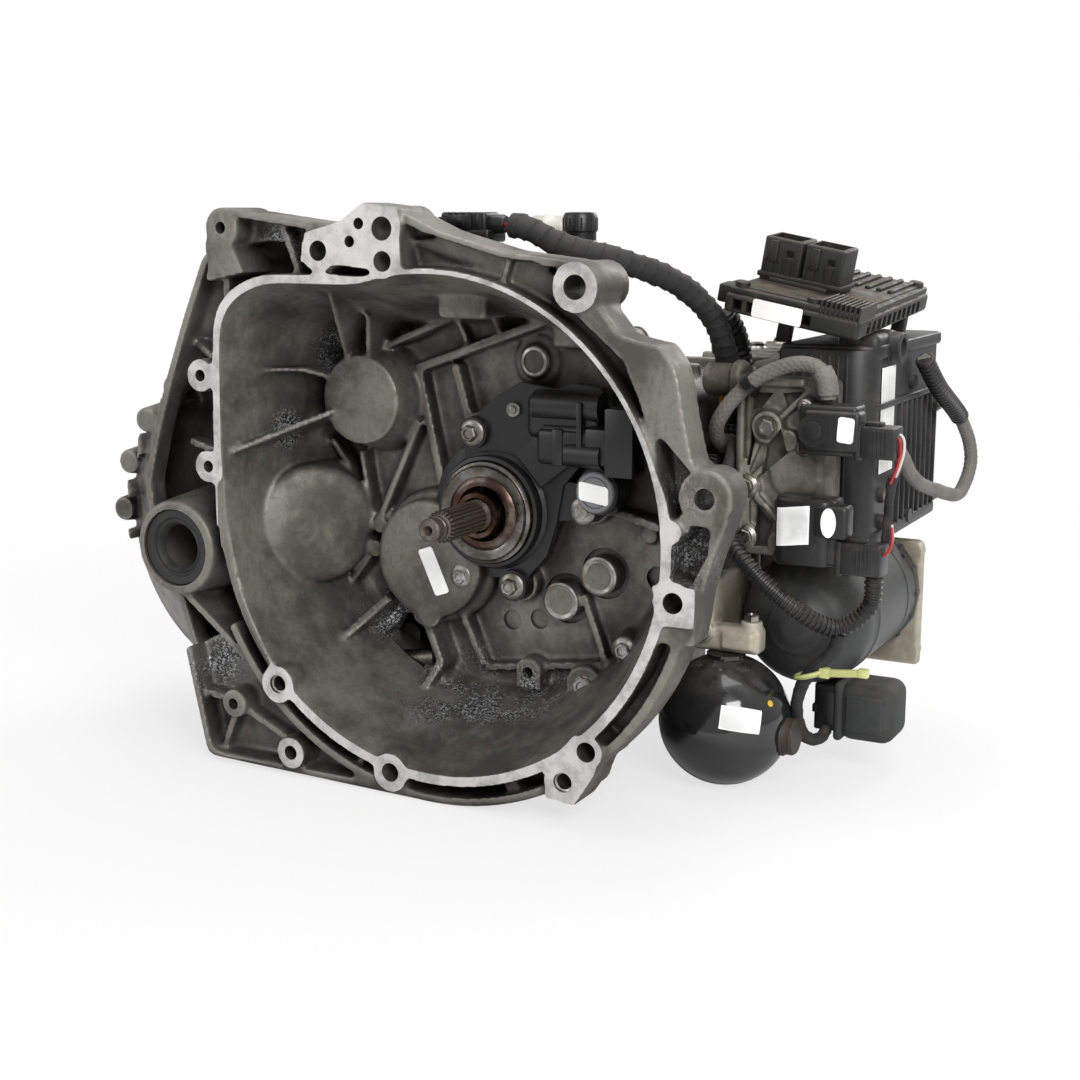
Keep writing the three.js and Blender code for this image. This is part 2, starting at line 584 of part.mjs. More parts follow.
const forkThickness = 5;
const grooveWidth = forkThickness + 2 * gap;
const grooveRadius = sleeveRadius - 6;
const groupNames = ['1_2', '3_4', '5_6'];
groupNames.forEach((name, group) => {
  const at = sleeveMiddle(group);
  const half = sleeveWidth / 2;
  const sleeve = turned([
    [roomy(hubRadius + gap), at - half], [sleeveRadius, at - half], [sleeveRadius, at - grooveWidth / 2],
    [grooveRadius, at - grooveWidth / 2], [grooveRadius, at + grooveWidth / 2], [sleeveRadius, at + grooveWidth / 2],
    [sleeveRadius, at + half], [roomy(hubRadius + gap), at + half],
  ], outputAxis);
  piece(`synchro_sleeve_${name}`, sleeve, gearSteel);

  // A fork: half a ring in the sleeve's groove, an arm, and an eye that slides on the rail.
  const toRail = Math.atan2(railAxis.z - outputAxis.z, railAxis.x - outputAxis.x);
  const outside = sleeveRadius + 8;
  const reach = Math.hypot(railAxis.x - outputAxis.x, railAxis.z - outputAxis.z);
  const onWay = (distance) => [
    outputAxis.x + distance * Math.cos(toRail), outputAxis.z + distance * Math.sin(toRail)];
  const ring = turned([
    [roomy(grooveRadius + gap), at - forkThickness / 2], [outside, at - forkThickness / 2],
    [outside, at + forkThickness / 2], [roomy(grooveRadius + gap), at + forkThickness / 2],
  ], outputAxis);
  const half1 = new THREE.BoxGeometry(2 * outside, 2 * forkThickness, 2 * outside);
  half1.translate(-outside, 0, 0).rotateY(-toRail).translate(outputAxis.x, at, outputAxis.z);
  const fork = join(
    cut(ring, solid(half1)),
    rib(onWay(outside - 4), onWay(reach - 9), 14, at - forkThickness / 2, at + forkThickness / 2),
    cylinder(13, railAxis, at - 10, at + 10, bossSides),
  );
  piece(`shift_fork_${name}`, cut(fork, hole(railRadius + gap, railAxis, at - 11, at + 11, bossSides)), steel);
});
piece('shift_rail', cylinder(railRadius, railAxis, caseFront + gap, coverInside - 2, bossSides), steel);

// ---- reverse train ----
piece('reverse_idler',
  gear(reverseIdler, idlerAxis, idlerPhase, reverseStart, reverseWidth, 8 + gap), gearSteel);
piece('reverse_idler_shaft', cylinder(8, idlerAxis, floorBack - 3, reverseStart + reverseWidth + 8, bossSides), steel);

// ---- differential ----
const carrierRadius = 52;
const carrierWall = 7;
const pinRadius = 9;
const carrierFront = ringStart - 2;
const carrierBack = rearSeat.front - 3;
const carrierMiddle = (carrierFront + carrierBack) / 2;
const journal = bearings.differential_bearing_front.bore;
const sideGearRadius = 30;
function carrier() {
  const frontSeat = bearings.differential_bearing_front;
  const body = turned([
    [0, frontSeat.front + 2], [journal, frontSeat.front + 2], [journal, frontSeat.front + frontSeat.width + 2],
    [journal + 8, frontSeat.front + frontSeat.width + 2], [carrierRadius, carrierFront],
    [carrierRadius, ringStart + ringWidth + gap], [75, ringStart + ringWidth + gap], [75, ringStart + ringWidth + 6],
    [carrierRadius, ringStart + ringWidth + 6], [carrierRadius, carrierBack - 6], [journal + 8, rearSeat.front - gap],
    [journal, rearSeat.front - gap], [journal, rearSeat.front + rearSeat.width - 2],
    [0, rearSeat.front + rearSeat.width - 2],
  ], finalAxis);
  const room = hole(40, finalAxis, carrierFront + carrierWall, carrierBack - carrierWall);
  const bore = hole(sealBore, finalAxis, frontSeat.front, rearSeat.front + rearSeat.width);
  const windows = box([finalAxis.x - 30, finalAxis.x + 30], [carrierMiddle - 18, carrierMiddle + 18],
    [finalAxis.z - 60, finalAxis.z + 60]);
  return cut(body, room, bore, windows, rod(roomy(pinRadius, 12), [finalAxis.x - 60, carrierMiddle, finalAxis.z],
    [finalAxis.x + 60, carrierMiddle, finalAxis.z], 12));
}
piece('differential_carrier', carrier(), steel);
piece('final_drive_gear',
  gear(ringTeeth, finalAxis, ringPhase, ringStart, ringWidth, carrierRadius + gap), gearSteel);
piece('differential_pin', rod(pinRadius - gap, [finalAxis.x - 50, carrierMiddle, finalAxis.z],
  [finalAxis.x + 50, carrierMiddle, finalAxis.z], 12), steel);

// Bevel gears drawn as toothless cones: two on the driveshafts, two on the pin.
const bevelBack = carrierBack - carrierWall - gap;
const bevelFront = carrierFront + carrierWall + gap;
const bevelDepth = (bevelBack - bevelFront) / 2 - pinRadius - gap;
const sideBore = hole(13, finalAxis, bevelFront - 40, bevelBack + 40);
const frontSide = join(
  cone(sideGearRadius, 16.5, finalAxis, bevelFront, bevelFront + bevelDepth),
  cylinder(sealBore - gap, finalAxis, bevelFront - 20, bevelFront + 1));
const rearSide = join(
  cone(16.5, sideGearRadius, finalAxis, bevelBack - bevelDepth, bevelBack),
  cylinder(sealBore - gap, finalAxis, bevelBack - 1, bevelBack + 20));
piece('side_gear_front', cut(frontSide, sideBore), gearSteel);
piece('side_gear_rear', cut(rearSide, sideBore), gearSteel);
[['left', -1], ['right', 1]].forEach(([name, side]) => {
  const at = (distance) => finalAxis.x + side * distance;
  const blank = new THREE.CylinderGeometry(17, 10, 12, 16);
  blank.rotateZ(-side * Math.PI / 2).translate(at(29), carrierMiddle, finalAxis.z);
  const bore = rod(roomy(pinRadius, 12), [at(0), carrierMiddle, finalAxis.z], [at(60), carrierMiddle, finalAxis.z], 12);
  piece(`pinion_gear_${name}`, cut(solid(blank), bore), gearSteel);
});

// ---- bearings and seals ----
Object.entries(bearings).forEach(([name, bearing]) => piece(name, bearingSolid(bearing), steel));

function shaftSeal(axis, outside, bore, front) {
  return turned([
    [bore + 1, front + 2], [bore + 6, front], [outside, front], [outside, front + 10], [outside - 5, front + 10],
    [outside - 5, front + 4], [bore, front + 6],
  ], axis);
}
piece('driveshaft_seal_front', shaftSeal(finalAxis, sealBore + 10 - gap, sealBore - 2, 3), rubber);
piece('driveshaft_seal_rear', shaftSeal(finalAxis, sealBore + 10 - gap, sealBore - 2, podEnd - 7), rubber);

// ---- clutch release ----
const guideRadius = 15.5;
const releaseWidth = 16;
function clutchActuator() {
  const seat = bellDepth - padHeight - gap; // on the raised pad around the input shaft
  const barrel = turned([
    [guideRadius + 2, releaseFace + releaseWidth + 6], [30, releaseFace + releaseWidth + 6],
    [38, seat - 8], [actuatorFoot, seat - 8], [actuatorFoot, seat], [guideRadius + 2, seat],
  ], inputAxis);
  const arm = join(
    polygon([[18, 40], [40, 58], [76, 62], [104, 66], [104, 34], [78, 30], [74, 8], [52, -8], [30, -30], [18, 0]],
      seat - 17, seat),
    box([76, 112], [seat - 32, seat - 10], [34, 66]),
  );
  const ears = [[-14, 52], [16, -50], [70, 8]].map(([x, z]) => cylinder(11, { x, z }, seat - 12, seat, bossSides));
  const bores = [hole(guideRadius + gap, inputAxis, 0, seat + 1),
    hole(releaseRadius + 1, inputAxis, 0, releaseFace + releaseWidth + gap)];
  const socket = box([90, 113], [seat - 28, seat - 14], [39, 61]);
  return cut(join(barrel, arm, ...ears), ...bores, socket);
}
piece('clutch_actuator', clutchActuator(), blackPlastic);
const guideFront = releaseFace - releaseStroke + 2;
piece('guide_tube', turned([
  [splineRadius + 1, guideFront], [guideRadius, guideFront], [guideRadius, bellDepth - padHeight - gap],
  [splineRadius + 1, bellDepth - padHeight - gap],
], inputAxis), steel);
piece('release_bearing', turned([
  [guideRadius + 1.2, releaseFace + 3], [guideRadius + 5, releaseFace], [releaseRadius - 6, releaseFace],
  [releaseRadius - 3, releaseFace + 2], [releaseRadius, releaseFace + 5], [releaseRadius, releaseFace + releaseWidth - 3],
  [releaseRadius - 5, releaseFace + releaseWidth], [guideRadius + 1.2, releaseFace + releaseWidth],
], inputAxis), steel);

// ---- shift unit on the right-hand side ----
const caseSide = grown(caseShape, wall)[0][0] + gap; // just clear of the case's right wall
const flank = caseShape[0][0]; // what the unit's other places across are measured from
const lobeFront = floorBack + 36;
const lobe = { x0: flank + 45, x1: flank + 110, z0: -27, z1: 92 };
const moduleFront = lobeFront + 22;
const moduleLeft = flank + 63 + gap;
const moduleRight = flank + 130;
const moduleTop = 112;
const plugSeat = lobeFront + 67;
function actuatorHousing() {
  return join(
    box([caseSide, moduleLeft - gap], [plugSeat, lobeFront + 172], [-20, 100]),
    box([lobe.x0, moduleLeft - gap], [moduleFront - 2, plugSeat + 1], [-20, 100]),
    box([lobe.x0, lobe.x1], [lobeFront, moduleFront - gap], [lobe.z0, lobe.z1]),
    rod(11, [lobe.x0 + 2, lobeFront + 10, 88], [lobe.x0 - 26, lobeFront + 10, 88], 16),
    cylinder(14, { x: lobe.x0 + 22, z: 60 }, lobeFront - 9, lobeFront + 1, 16),
  );
}
piece('actuator_housing', actuatorHousing(), castAlloy);
piece('actuator_module', join(
  box([moduleLeft, moduleRight], [moduleFront, lobeFront + 192], [-20, moduleTop]),
  rod(14, [moduleRight - 1, lobeFront + 57, 92], [moduleRight + 5, lobeFront + 57, 92], 20),
), modulePlastic);

// The control unit lies on the module at a slope, on four legs.
const tcu = {
  x: flank + 81, y: lobeFront + 74, z: moduleTop + 28, width: 92, length: 156, thickness: 18, turnX: 4.4, turnY: 10.8,
};
function controlUnit() {
  const sloped = (geometry) => solid(geometry
    .rotateX(degrees(tcu.turnX)).rotateY(degrees(tcu.turnY)).translate(tcu.x, tcu.y, tcu.z));
  const block = (w, l, h, x, y, z) => new THREE.BoxGeometry(w, l, h).translate(x, y, z);
  const shroudHeight = 30;
  const top = tcu.thickness / 2;
  const shrouds = [-27, 2].map((x) => sloped(block(27, 28, shroudHeight, x, -22, top + shroudHeight / 2 - 1)));
  const sockets = [-27, 2].map((x) =>
    sloped(block(21, 22, shroudHeight, x, -22, top + 4 + shroudHeight / 2)));
  const legs = [[-14, -40], [34, -40], [-14, 60], [34, 60]].map(([x, y]) => sloped(block(9, 9, 40, x, y, -20)));
  const underneath = box([0, 400], [0, 500], [0, moduleTop + gap]);
  return cut(join(sloped(block(tcu.width, tcu.length, tcu.thickness, 0, 0, 0)), ...legs, ...shrouds),
    underneath, ...sockets);
}
piece('control_unit', controlUnit(), blackPlastic);

// ---- hydraulic block, pump and accumulator ----
// The accumulator hangs from the block in front of the pump, clear of the case, the bell and the pump's dome.
const pumpFront = lobeFront + 4;
const pumpBack = lobeFront + 148;
const accumulatorAt = {
  x: flank + 2 + accumulatorRadius,
  y: pumpFront + 69 - accumulatorRadius - pumpRadius,
  z: footHeight + accumulatorRadius,
};
const pumpAxis = { x: accumulatorAt.x + accumulatorRadius + pumpRadius - 53, z: -28 - pumpRadius };
const hydraulics = {
  front: lobeFront - 22, back: lobeFront + 52, bottom: footHeight + 2 * accumulatorRadius + 1, top: -42,
};
piece('hydraulic_block', join(
  box([caseSide, pumpAxis.x - pumpRadius - 2 * gap], [hydraulics.front, hydraulics.back],
    [hydraulics.bottom, hydraulics.top]),
  box([caseSide, accumulatorAt.x + 24], [hydraulics.front, hydraulics.front + 16],
    [hydraulics.bottom, hydraulics.bottom + 18]),
), dirtyAlloy);
piece('pump_motor', turned([
  [0, pumpFront], [pumpRadius - 28, pumpFront + 2], [pumpRadius - 13, pumpFront + 9], [pumpRadius - 4, pumpFront + 20],
  [pumpRadius - 1, pumpFront + 34], [pumpRadius, pumpFront + 48], [pumpRadius, pumpBack], [0, pumpBack],
], pumpAxis), greyPaint);
piece('pump_flange', box([caseSide, pumpAxis.x + pumpRadius + 2], [pumpBack + gap, pumpBack + 14],
  [pumpAxis.z - 56, pumpAxis.z + 38]), dirtyAlloy);
function accumulator() {
  const ball = new THREE.SphereGeometry(accumulatorRadius, 16, 10);
  const { x, y, z } = accumulatorAt;
  return join(
    solid(ball.translate(x, y, z)),
    rod(13, [x, y, z + accumulatorRadius - 6], [x, y, hydraulics.bottom - gap], 16),
    rod(12, [x + accumulatorRadius - 8, y, z - 6], [x + accumulatorRadius + 6, y, z - 6], 16),
  );
}
piece('accumulator', accumulator(), blackGloss);

// ---- sensors and plugs ----
const sensorBack = lobeFront - gap;
const sensorFront = sensorBack - 24;
piece('upper_sensor', join(
  box([lobe.x0 + 46, lobe.x0 + 88], [sensorFront, sensorBack], [44, 80]),
  box([lobe.x0 + 86, lobe.x0 + 112], [sensorFront + 2, sensorBack - 2], [46, 68]),
), blackPlastic);
piece('lower_sensor', join(
  box([lobe.x0 + 32, lobe.x0 + 74], [sensorFront, sensorBack], [-28, 18]),
  box([lobe.x0 + 72, lobe.x0 + 106], [sensorFront + 2, sensorBack - 2], [-30, -8]),
), blackPlastic);
piece('top_plug', join(
  box([-20, 18], [48, 72], [plugSeatTop + gap, plugSeatTop + 19]),
  box([16, 26], [54, 66], [plugSeatTop + 6, plugSeatTop + 17])), blackPlastic);
const fitting = { x: 55, y: floorBack - 8 };
piece('fluid_fitting', join(
  rod(7, [fitting.x, fitting.y, fittingSeatTop + gap], [fitting.x, fitting.y, fittingSeatTop + 14], 8),
  rod(11, [fitting.x, fitting.y, fittingSeatTop + 12], [fitting.x, fitting.y, fittingSeatTop + 39], 12),
  rod(8, [fitting.x - 1, fitting.y, fittingSeatTop + 29], [fitting.x - 35, fitting.y, fittingSeatTop + 29], 8),
), blackPlastic);
piece('harness_plug', box([flank + 9, flank + 33], [plugSeat - 27, plugSeat - gap], [24, 56]), blackPlastic);

// ---- harness ----
piece('main_harness', lead([
  [29, 60, 189], [40, 60, 187], [60, 66, 177], [92, 86, 167], [116, 122, 152], [127, 158, 128], [128, 178, 104],
  [126.5, 199, 80], [126, 200, 57]], 9.5, 22), rubber);
piece('upper_sleeve', lead([
  [131, 184, 42], [131, 166, 44], [138, 142, 62], [158, 139, 86], [186, 138, 101],
  [206, 136, 101], [214, 134, 92], [215, 134, 81.2]], 6, 18), sleeveCloth);
piece('lower_conduit', lead([
  [119, 183, 30], [122, 168, 20], [141, 140, 0], [166, 116, -22], [199, 118, -50], [226, 134, -66], [246, 138, -50],
  [248, 138, -31]], 6, 18), blackPlastic);
piece('side_sleeve', lead([
  [241, 262, 98], [246, 282, 78], [254, 330, 46], [258, 342, 20], [256, 325, -2], [252, 270, 6], [250, 215, 22],
  [250, 175, 46], [250, sensorBack, 57]], 5, 20), sleeveCloth);
const capped = { x: pumpAxis.x + 6, y: pumpFront + 28, z: pumpAxis.z - pumpRadius };
piece('capped_plug', join(
  box([capped.x, capped.x + 17], [capped.y + 4, capped.y + 36], [capped.z - 32, capped.z + 2 * gap]),
  box([capped.x + 15, capped.x + 57], [capped.y, capped.y + 42], [capped.z - 38, capped.z + 4])), rubber);

// The origin goes under the middle of the part, on the surface that it stands on.
const bounds = new THREE.Box3().setFromObject(gearbox);
const centre = bounds.getCenter(new THREE.Vector3());
gearbox.position.set(-centre.x, -centre.y, -bounds.min.z);
const gearboxInPlace = new THREE.Group().add(gearbox);

export default gearboxInPlace;
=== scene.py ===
# Looks of a six-speed transverse gearbox with an electro-hydraulic shift unit. Sizes are millimetres from
# the input shaft's axis on the engine face, and are placed in the frame in metres.
import json
import math

import bmesh
import bpy
import numpy as np
from mathutils import Matrix, Vector


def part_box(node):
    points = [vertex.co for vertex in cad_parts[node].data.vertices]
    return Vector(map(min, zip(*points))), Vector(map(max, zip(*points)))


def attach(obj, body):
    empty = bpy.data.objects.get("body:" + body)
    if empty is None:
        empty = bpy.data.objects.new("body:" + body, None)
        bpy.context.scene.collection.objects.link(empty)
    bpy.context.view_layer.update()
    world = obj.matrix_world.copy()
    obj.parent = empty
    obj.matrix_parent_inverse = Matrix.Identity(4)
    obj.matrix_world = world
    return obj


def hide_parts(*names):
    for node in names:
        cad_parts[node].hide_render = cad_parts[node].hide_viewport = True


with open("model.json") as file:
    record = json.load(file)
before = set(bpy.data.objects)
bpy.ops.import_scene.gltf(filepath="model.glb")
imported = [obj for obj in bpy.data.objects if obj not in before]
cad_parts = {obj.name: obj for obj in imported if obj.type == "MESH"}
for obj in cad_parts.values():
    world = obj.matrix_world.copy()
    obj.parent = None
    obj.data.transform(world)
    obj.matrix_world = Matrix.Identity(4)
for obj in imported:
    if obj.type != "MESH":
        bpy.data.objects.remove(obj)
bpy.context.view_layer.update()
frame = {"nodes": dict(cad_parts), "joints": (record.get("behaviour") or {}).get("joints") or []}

bpy.context.scene.view_settings.view_transform = "Standard"


# ---- camera ----
# It stands about a metre from the engine side, a little above the shaft and to its right. The input
# shaft's joint and the front of the bell housing fix the place of everything.
joint_places = {joint["name"]: joint.get("pos_m") for joint in frame["joints"]}
shaft_x, _, shaft_z = joint_places["input_spin"]
engine_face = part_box("bell_housing")[0].y
to_frame = Matrix.Translation((shaft_x, engine_face, shaft_z)) @ Matrix.Scale(0.001, 4)

view_turn, view_height = math.radians(27.78), math.radians(11.21)
camera_distance = 1040
camera_aside = Vector((71.05, 0, -5.43))
picture_angle_lens = 55.13
towards_camera = Vector((
    math.sin(view_turn) * math.cos(view_height), -math.cos(view_turn) * math.cos(view_height),
    math.sin(view_height)))
camera_right = Vector((math.cos(view_turn), math.sin(view_turn), 0))
camera_up = towards_camera.cross(camera_right)

camera = bpy.data.objects.new("camera", bpy.data.cameras.new("camera"))
camera.data.lens = picture_angle_lens
camera.data.clip_start = 0.05
camera.data.clip_end = 100
camera_spot = towards_camera * camera_distance + camera_right * camera_aside.x + camera_up * camera_aside.z
camera.matrix_world = Matrix.Translation(to_frame @ camera_spot) @ Matrix(
    (camera_right, camera_up, towards_camera)).transposed().to_4x4()
bpy.context.scene.collection.objects.link(camera)
bpy.context.scene.camera = camera


# ---- floor and studio light ----
# A pale floor, a white surround and four soft boxes: a large one over the camera's right shoulder, a weaker
# one from the left, one overhead and one behind that draws the edges of the castings.
def new_material(name):
    material = bpy.data.materials.new(name)
    material.use_nodes = True
    return material, material.node_tree, material.node_tree.nodes["Principled BSDF"]


def node(tree, kind, settings=None, **inputs):
    made = tree.nodes.new("ShaderNode" + kind)
    for name, value in (settings or {}).items():
        setattr(made, name, value)
    for name, value in inputs.items():
        socket = made.inputs[int(name[1:])] if name[0] == "n" and name[1:].isdigit() else made.inputs[name]
        if isinstance(value, bpy.types.NodeSocket):
            tree.links.new(value, socket)
        else:
            socket.default_value = value
    return made


floor_material, tree, shader = new_material("studio_floor")
shader.inputs["Base Color"].default_value = (0.86, 0.86, 0.86, 1)
shader.inputs["Roughness"].default_value = 0.9
shader.inputs["Specular IOR Level"].default_value = 0.1
glow = node(tree, "Emission", Color=(1, 1, 1, 1), Strength=1.0)
seen_directly = node(tree, "LightPath")
from_part = node(tree, "VectorMath", {"operation": "LENGTH"},
                 n0=node(tree, "TexCoord").outputs["Object"]).outputs["Value"]
fade = node(tree, "MapRange", {"interpolation_type": "SMOOTHSTEP"}, Value=from_part, n1=0.3, n2=1.1,
            n3=0.72, n4=1.0)
share = node(tree, "Math", {"operation": "MULTIPLY"}, n0=seen_directly.outputs["Is Camera Ray"],
             n1=fade.outputs[0])
both = node(tree, "MixShader", n0=share.outputs[0], n1=shader.outputs[0], n2=glow.outputs[0])
tree.links.new(both.outputs[0], tree.nodes["Material Output"].inputs["Surface"])

floor_mesh = bpy.data.meshes.new("studio_floor")
floor_half = 12
floor_mesh.from_pydata([(-floor_half, -floor_half, 0), (floor_half, -floor_half, 0),
                        (floor_half, floor_half, 0), (-floor_half, floor_half, 0)], [], [(0, 1, 2, 3)])
floor_mesh.materials.append(floor_material)
studio_floor = bpy.data.objects.new("studio_floor", floor_mesh)
bpy.context.scene.collection.objects.link(studio_floor)

world = bpy.data.worlds.new("studio")
bpy.context.scene.world = world
world.use_nodes = True
tree = world.node_tree
path = node(tree, "LightPath")
shown = node(tree, "Math", {"operation": "MAXIMUM"}, n0=path.outputs["Is Camera Ray"],
             n1=path.outputs["Is Transmission Ray"])
white = node(tree, "Math", {"operation": "MULTIPLY_ADD", "use_clamp": True},
             n0=path.outputs["Is Glossy Ray"], n1=0.45, n2=shown.outputs[0])
level = node(tree, "Math", {"operation": "MULTIPLY_ADD"}, n0=white.outputs[0], n1=0.72, n2=0.28)
tree.links.new(level.outputs[0], tree.nodes["Background"].inputs["Strength"])
tree.nodes["Background"].inputs["Color"].default_value = (1, 1, 1, 1)


def soft_box(name, spot, aim, size, watts):
    lamp = bpy.data.lights.new(name, "AREA")
    lamp.shape, lamp.size, lamp.size_y, lamp.energy = "RECTANGLE", size[0], size[1], watts
    lit = bpy.data.objects.new(name, lamp)
    lit.location = spot
    lit.rotation_euler = (Vector(aim) - Vector(spot)).to_track_quat("-Z", "Y").to_euler()
    bpy.context.scene.collection.objects.link(lit)


soft_box("key_light", (1.35, -1.5, 1.25), (0.05, 0, 0.15), (0.9, 0.9), 30)
soft_box("fill_light", (-1.4, -1.3, 0.9), (0, 0, 0.15), (1.0, 1.0), 7)
soft_box("top_light", (0.1, 0.1, 1.7), (0, 0, 0.1), (1.4, 1.0), 16)
soft_box("back_light", (0.6, 1.7, 1.1), (0, 0, 0.15), (1.2, 0.8), 16)


# ---- bell housing ----
# A die-cast aluminium housing, open towards the engine. Its face is milled flat, and its screw holes and
# bearing seats are bored after casting. Years on the road have left oil stains and white oxide, and its
# corners and hollows are darkened with painted shade.
def skin(rings, loop=False):
    """A closed solid over rings of points; a loop joins the last ring to the first and has no ends."""
    bm = bmesh.new()
    made = [[bm.verts.new(point) for point in ring] for ring in rings]
    count = len(made[0])
    for a, b in zip(made, made[1:] + made[:1] if loop else made[1:]):
        for i in range(count):
            j = (i + 1) % count
            bm.faces.new((a[i], a[j], b[j], b[i]))
    if not loop:
        bm.faces.new(made[0])
        bm.faces.new(reversed(made[-1]))
    bmesh.ops.recalc_face_normals(bm, faces=bm.faces)
    return blank(bm)


def blank(bm):
    mesh = bpy.data.meshes.new("blank")
    bm.to_mesh(mesh)
    bm.free()
    made = bpy.data.objects.new("blank", mesh)
    bpy.context.scene.collection.objects.link(made)
    return made


def round_points(centre, direction, radius, sides, turn=0):
    direction = Vector(direction).normalized()
    across = direction.orthogonal().normalized()
    beside = direction.cross(across)
    steps = [2 * math.pi * i / sides + turn for i in range(sides)]
    return [Vector(centre) + radius * (math.cos(a) * across + math.sin(a) * beside) for a in steps]


def turned(profile, start=(0, 0, 0), direction=(0, 1, 0), sides=64, loop=False):
    """A turned solid from [radius, distance] corners along a direction."""
    along = Vector(direction).normalized()
    return skin([round_points(Vector(start) + along * distance, along, max(radius, 0.01), sides)
                 for radius, distance in profile], loop)


def rod(start, end, radius, end_radius=None, sides=48):
    along = Vector(end) - Vector(start)
    profile = [(radius, 0), (radius if end_radius is None else end_radius, along.length)]
    return turned(profile, start, along, sides)


def drum(x, z, radius, front, back, back_radius=None, sides=64):
    return rod((x, front, z), (x, back, z), radius, back_radius, sides)


def plate(outline, front, back):
    """A flat piece with an outline of [x, z] corners."""
    return skin([[(x, y, z) for x, z in outline] for y in (front, back)])


def block(x, y, z, rounding=0.0, steps=2):
    bm = bmesh.new()
    bmesh.ops.create_cube(bm, size=1)
    for corner in bm.verts:
        corner.co = [low + (c + 0.5) * (high - low) for c, (low, high) in zip(corner.co, (x, y, z))]
    if rounding:
        bmesh.ops.bevel(bm, geom=bm.edges[:], offset=rounding, segments=steps, profile=0.5, affect="EDGES")
    return blank(bm)


def fin(start, end, thickness, back=110):
    """A rib whose crest runs from start to end, and whose foot is at the given depth."""
    start, end = Vector(start), Vector(end)
    side = (end - start).cross(Vector((0, 1, 0))).normalized() * thickness / 2
    rings = []
    for point in (start, end):
        foot = Vector((point.x, back, point.z))
        rings.append([point - side, point + side, foot + 1.3 * side, foot - 1.3 * side])
    return skin(rings)


def swap_mesh(obj):
    """Keeps what the modifiers make."""
    shape = bpy.data.meshes.new_from_object(obj.evaluated_get(bpy.context.evaluated_depsgraph_get()))
    obj.modifiers.clear()
    obj.data = shape
    return obj


def worked(obj, operation, tools):
    for tool in tools:
        step = obj.modifiers.new("step", "BOOLEAN")
        step.operation, step.solver, step.object = operation, "MANIFOLD", tool
    swap_mesh(obj)
    for tool in tools:
        bpy.data.objects.remove(tool)
    return obj


def joined(first, *others):
    return worked(first, "UNION", list(others))


def cut(first, *tools):
    return worked(first, "DIFFERENCE", list(tools))


def together(*parts):
    """Parts that keep their own shells in one mesh."""
    bm = bmesh.new()
    for part in parts:
        bm.from_mesh(part.data)
        bpy.data.objects.remove(part)
    return blank(bm)


def cast(parts, grain=1.6, rounds=4, keep=0.55):
    """Casts overlapping parts into one skin with soft corners."""
    whole = together(*parts)
    step = whole.modifiers.new("skin", "REMESH")
    step.mode, step.voxel_size, step.adaptivity = "VOXEL", grain, 0
    step = whole.modifiers.new("soft", "SMOOTH")
    step.factor, step.iterations = 0.5, rounds
    swap_mesh(whole)
    step = whole.modifiers.new("thin", "DECIMATE")
    step.ratio, step.use_collapse_triangulate = keep, True
    return swap_mesh(whole)


def finished(obj, name, body, materials, smooth=40, replaces=()):
    """Names the piece, puts it in the frame and fixes it to its body."""
    obj.name = obj.data.name = name
    obj.data.transform(to_frame)
    obj.data.materials.clear()
    for material in materials:
        obj.data.materials.append(material)
    for face in obj.data.polygons:
        face.use_smooth = True
    obj.data.set_sharp_from_angle(angle=math.radians(smooth))
    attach(obj, body)
    if replaces:
        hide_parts(*replaces)
    return obj


def noise(tree, scale, detail=3.0, roughness=0.55, where=None):
    where = where or node(tree, "TexCoord").outputs["Object"]
    return node(tree, "TexNoise", Vector=where, Scale=scale, Detail=detail,
                Roughness=roughness).outputs["Fac"]


def ramp(tree, value, low, high, from_low=0.0, to_high=1.0):
    made = node(tree, "MapRange", {"interpolation_type": "SMOOTHSTEP"}, Value=value)
    for socket, number in (("From Min", low), ("From Max", high), ("To Min", from_low), ("To Max", to_high)):
        made.inputs[socket].default_value = number
    return made.outputs[0]


def blended(tree, share, first, second, how="MIX"):
    made = node(tree, "Mix", {"data_type": "RGBA", "blend_type": how}, n0=share, n6=first, n7=second)
    return made.outputs[2]


def times(tree, first, second, operation="MULTIPLY"):
    return node(tree, "Math", {"operation": operation, "use_clamp": operation == "ADD"}, n0=first,
                n1=second).outputs[0]


def scaled(colour, factor):
    return [factor * c for c in colour[:3]] + [1]


def rough_skin(tree, shader, layers):
    """Bump from (height, strength, depth in metres) layers, one on top of the other."""
    normal = None
    for height, strength, depth in layers:
        step = node(tree, "Bump", Strength=strength, Distance=depth, Height=height)
        if normal:
            tree.links.new(normal, step.inputs["Normal"])
        normal = step.outputs[0]
    tree.links.new(normal, shader.inputs["Normal"])


def near(tree, spots):
    """1 at the given (spot, reach) places, falling to 0 at their reach."""
    where, total = node(tree, "TexCoord").outputs["Object"], None
    for spot, reach in spots:
        away = node(tree, "VectorMath", {"operation": "DISTANCE"}, n0=where,
                    n1=to_frame @ Vector(spot)).outputs["Value"]
        close = ramp(tree, away, 0.2 * reach / 1000, reach / 1000, 1.0, 0.0)
        total = close if total is None else times(tree, total, close, "ADD")
    return total


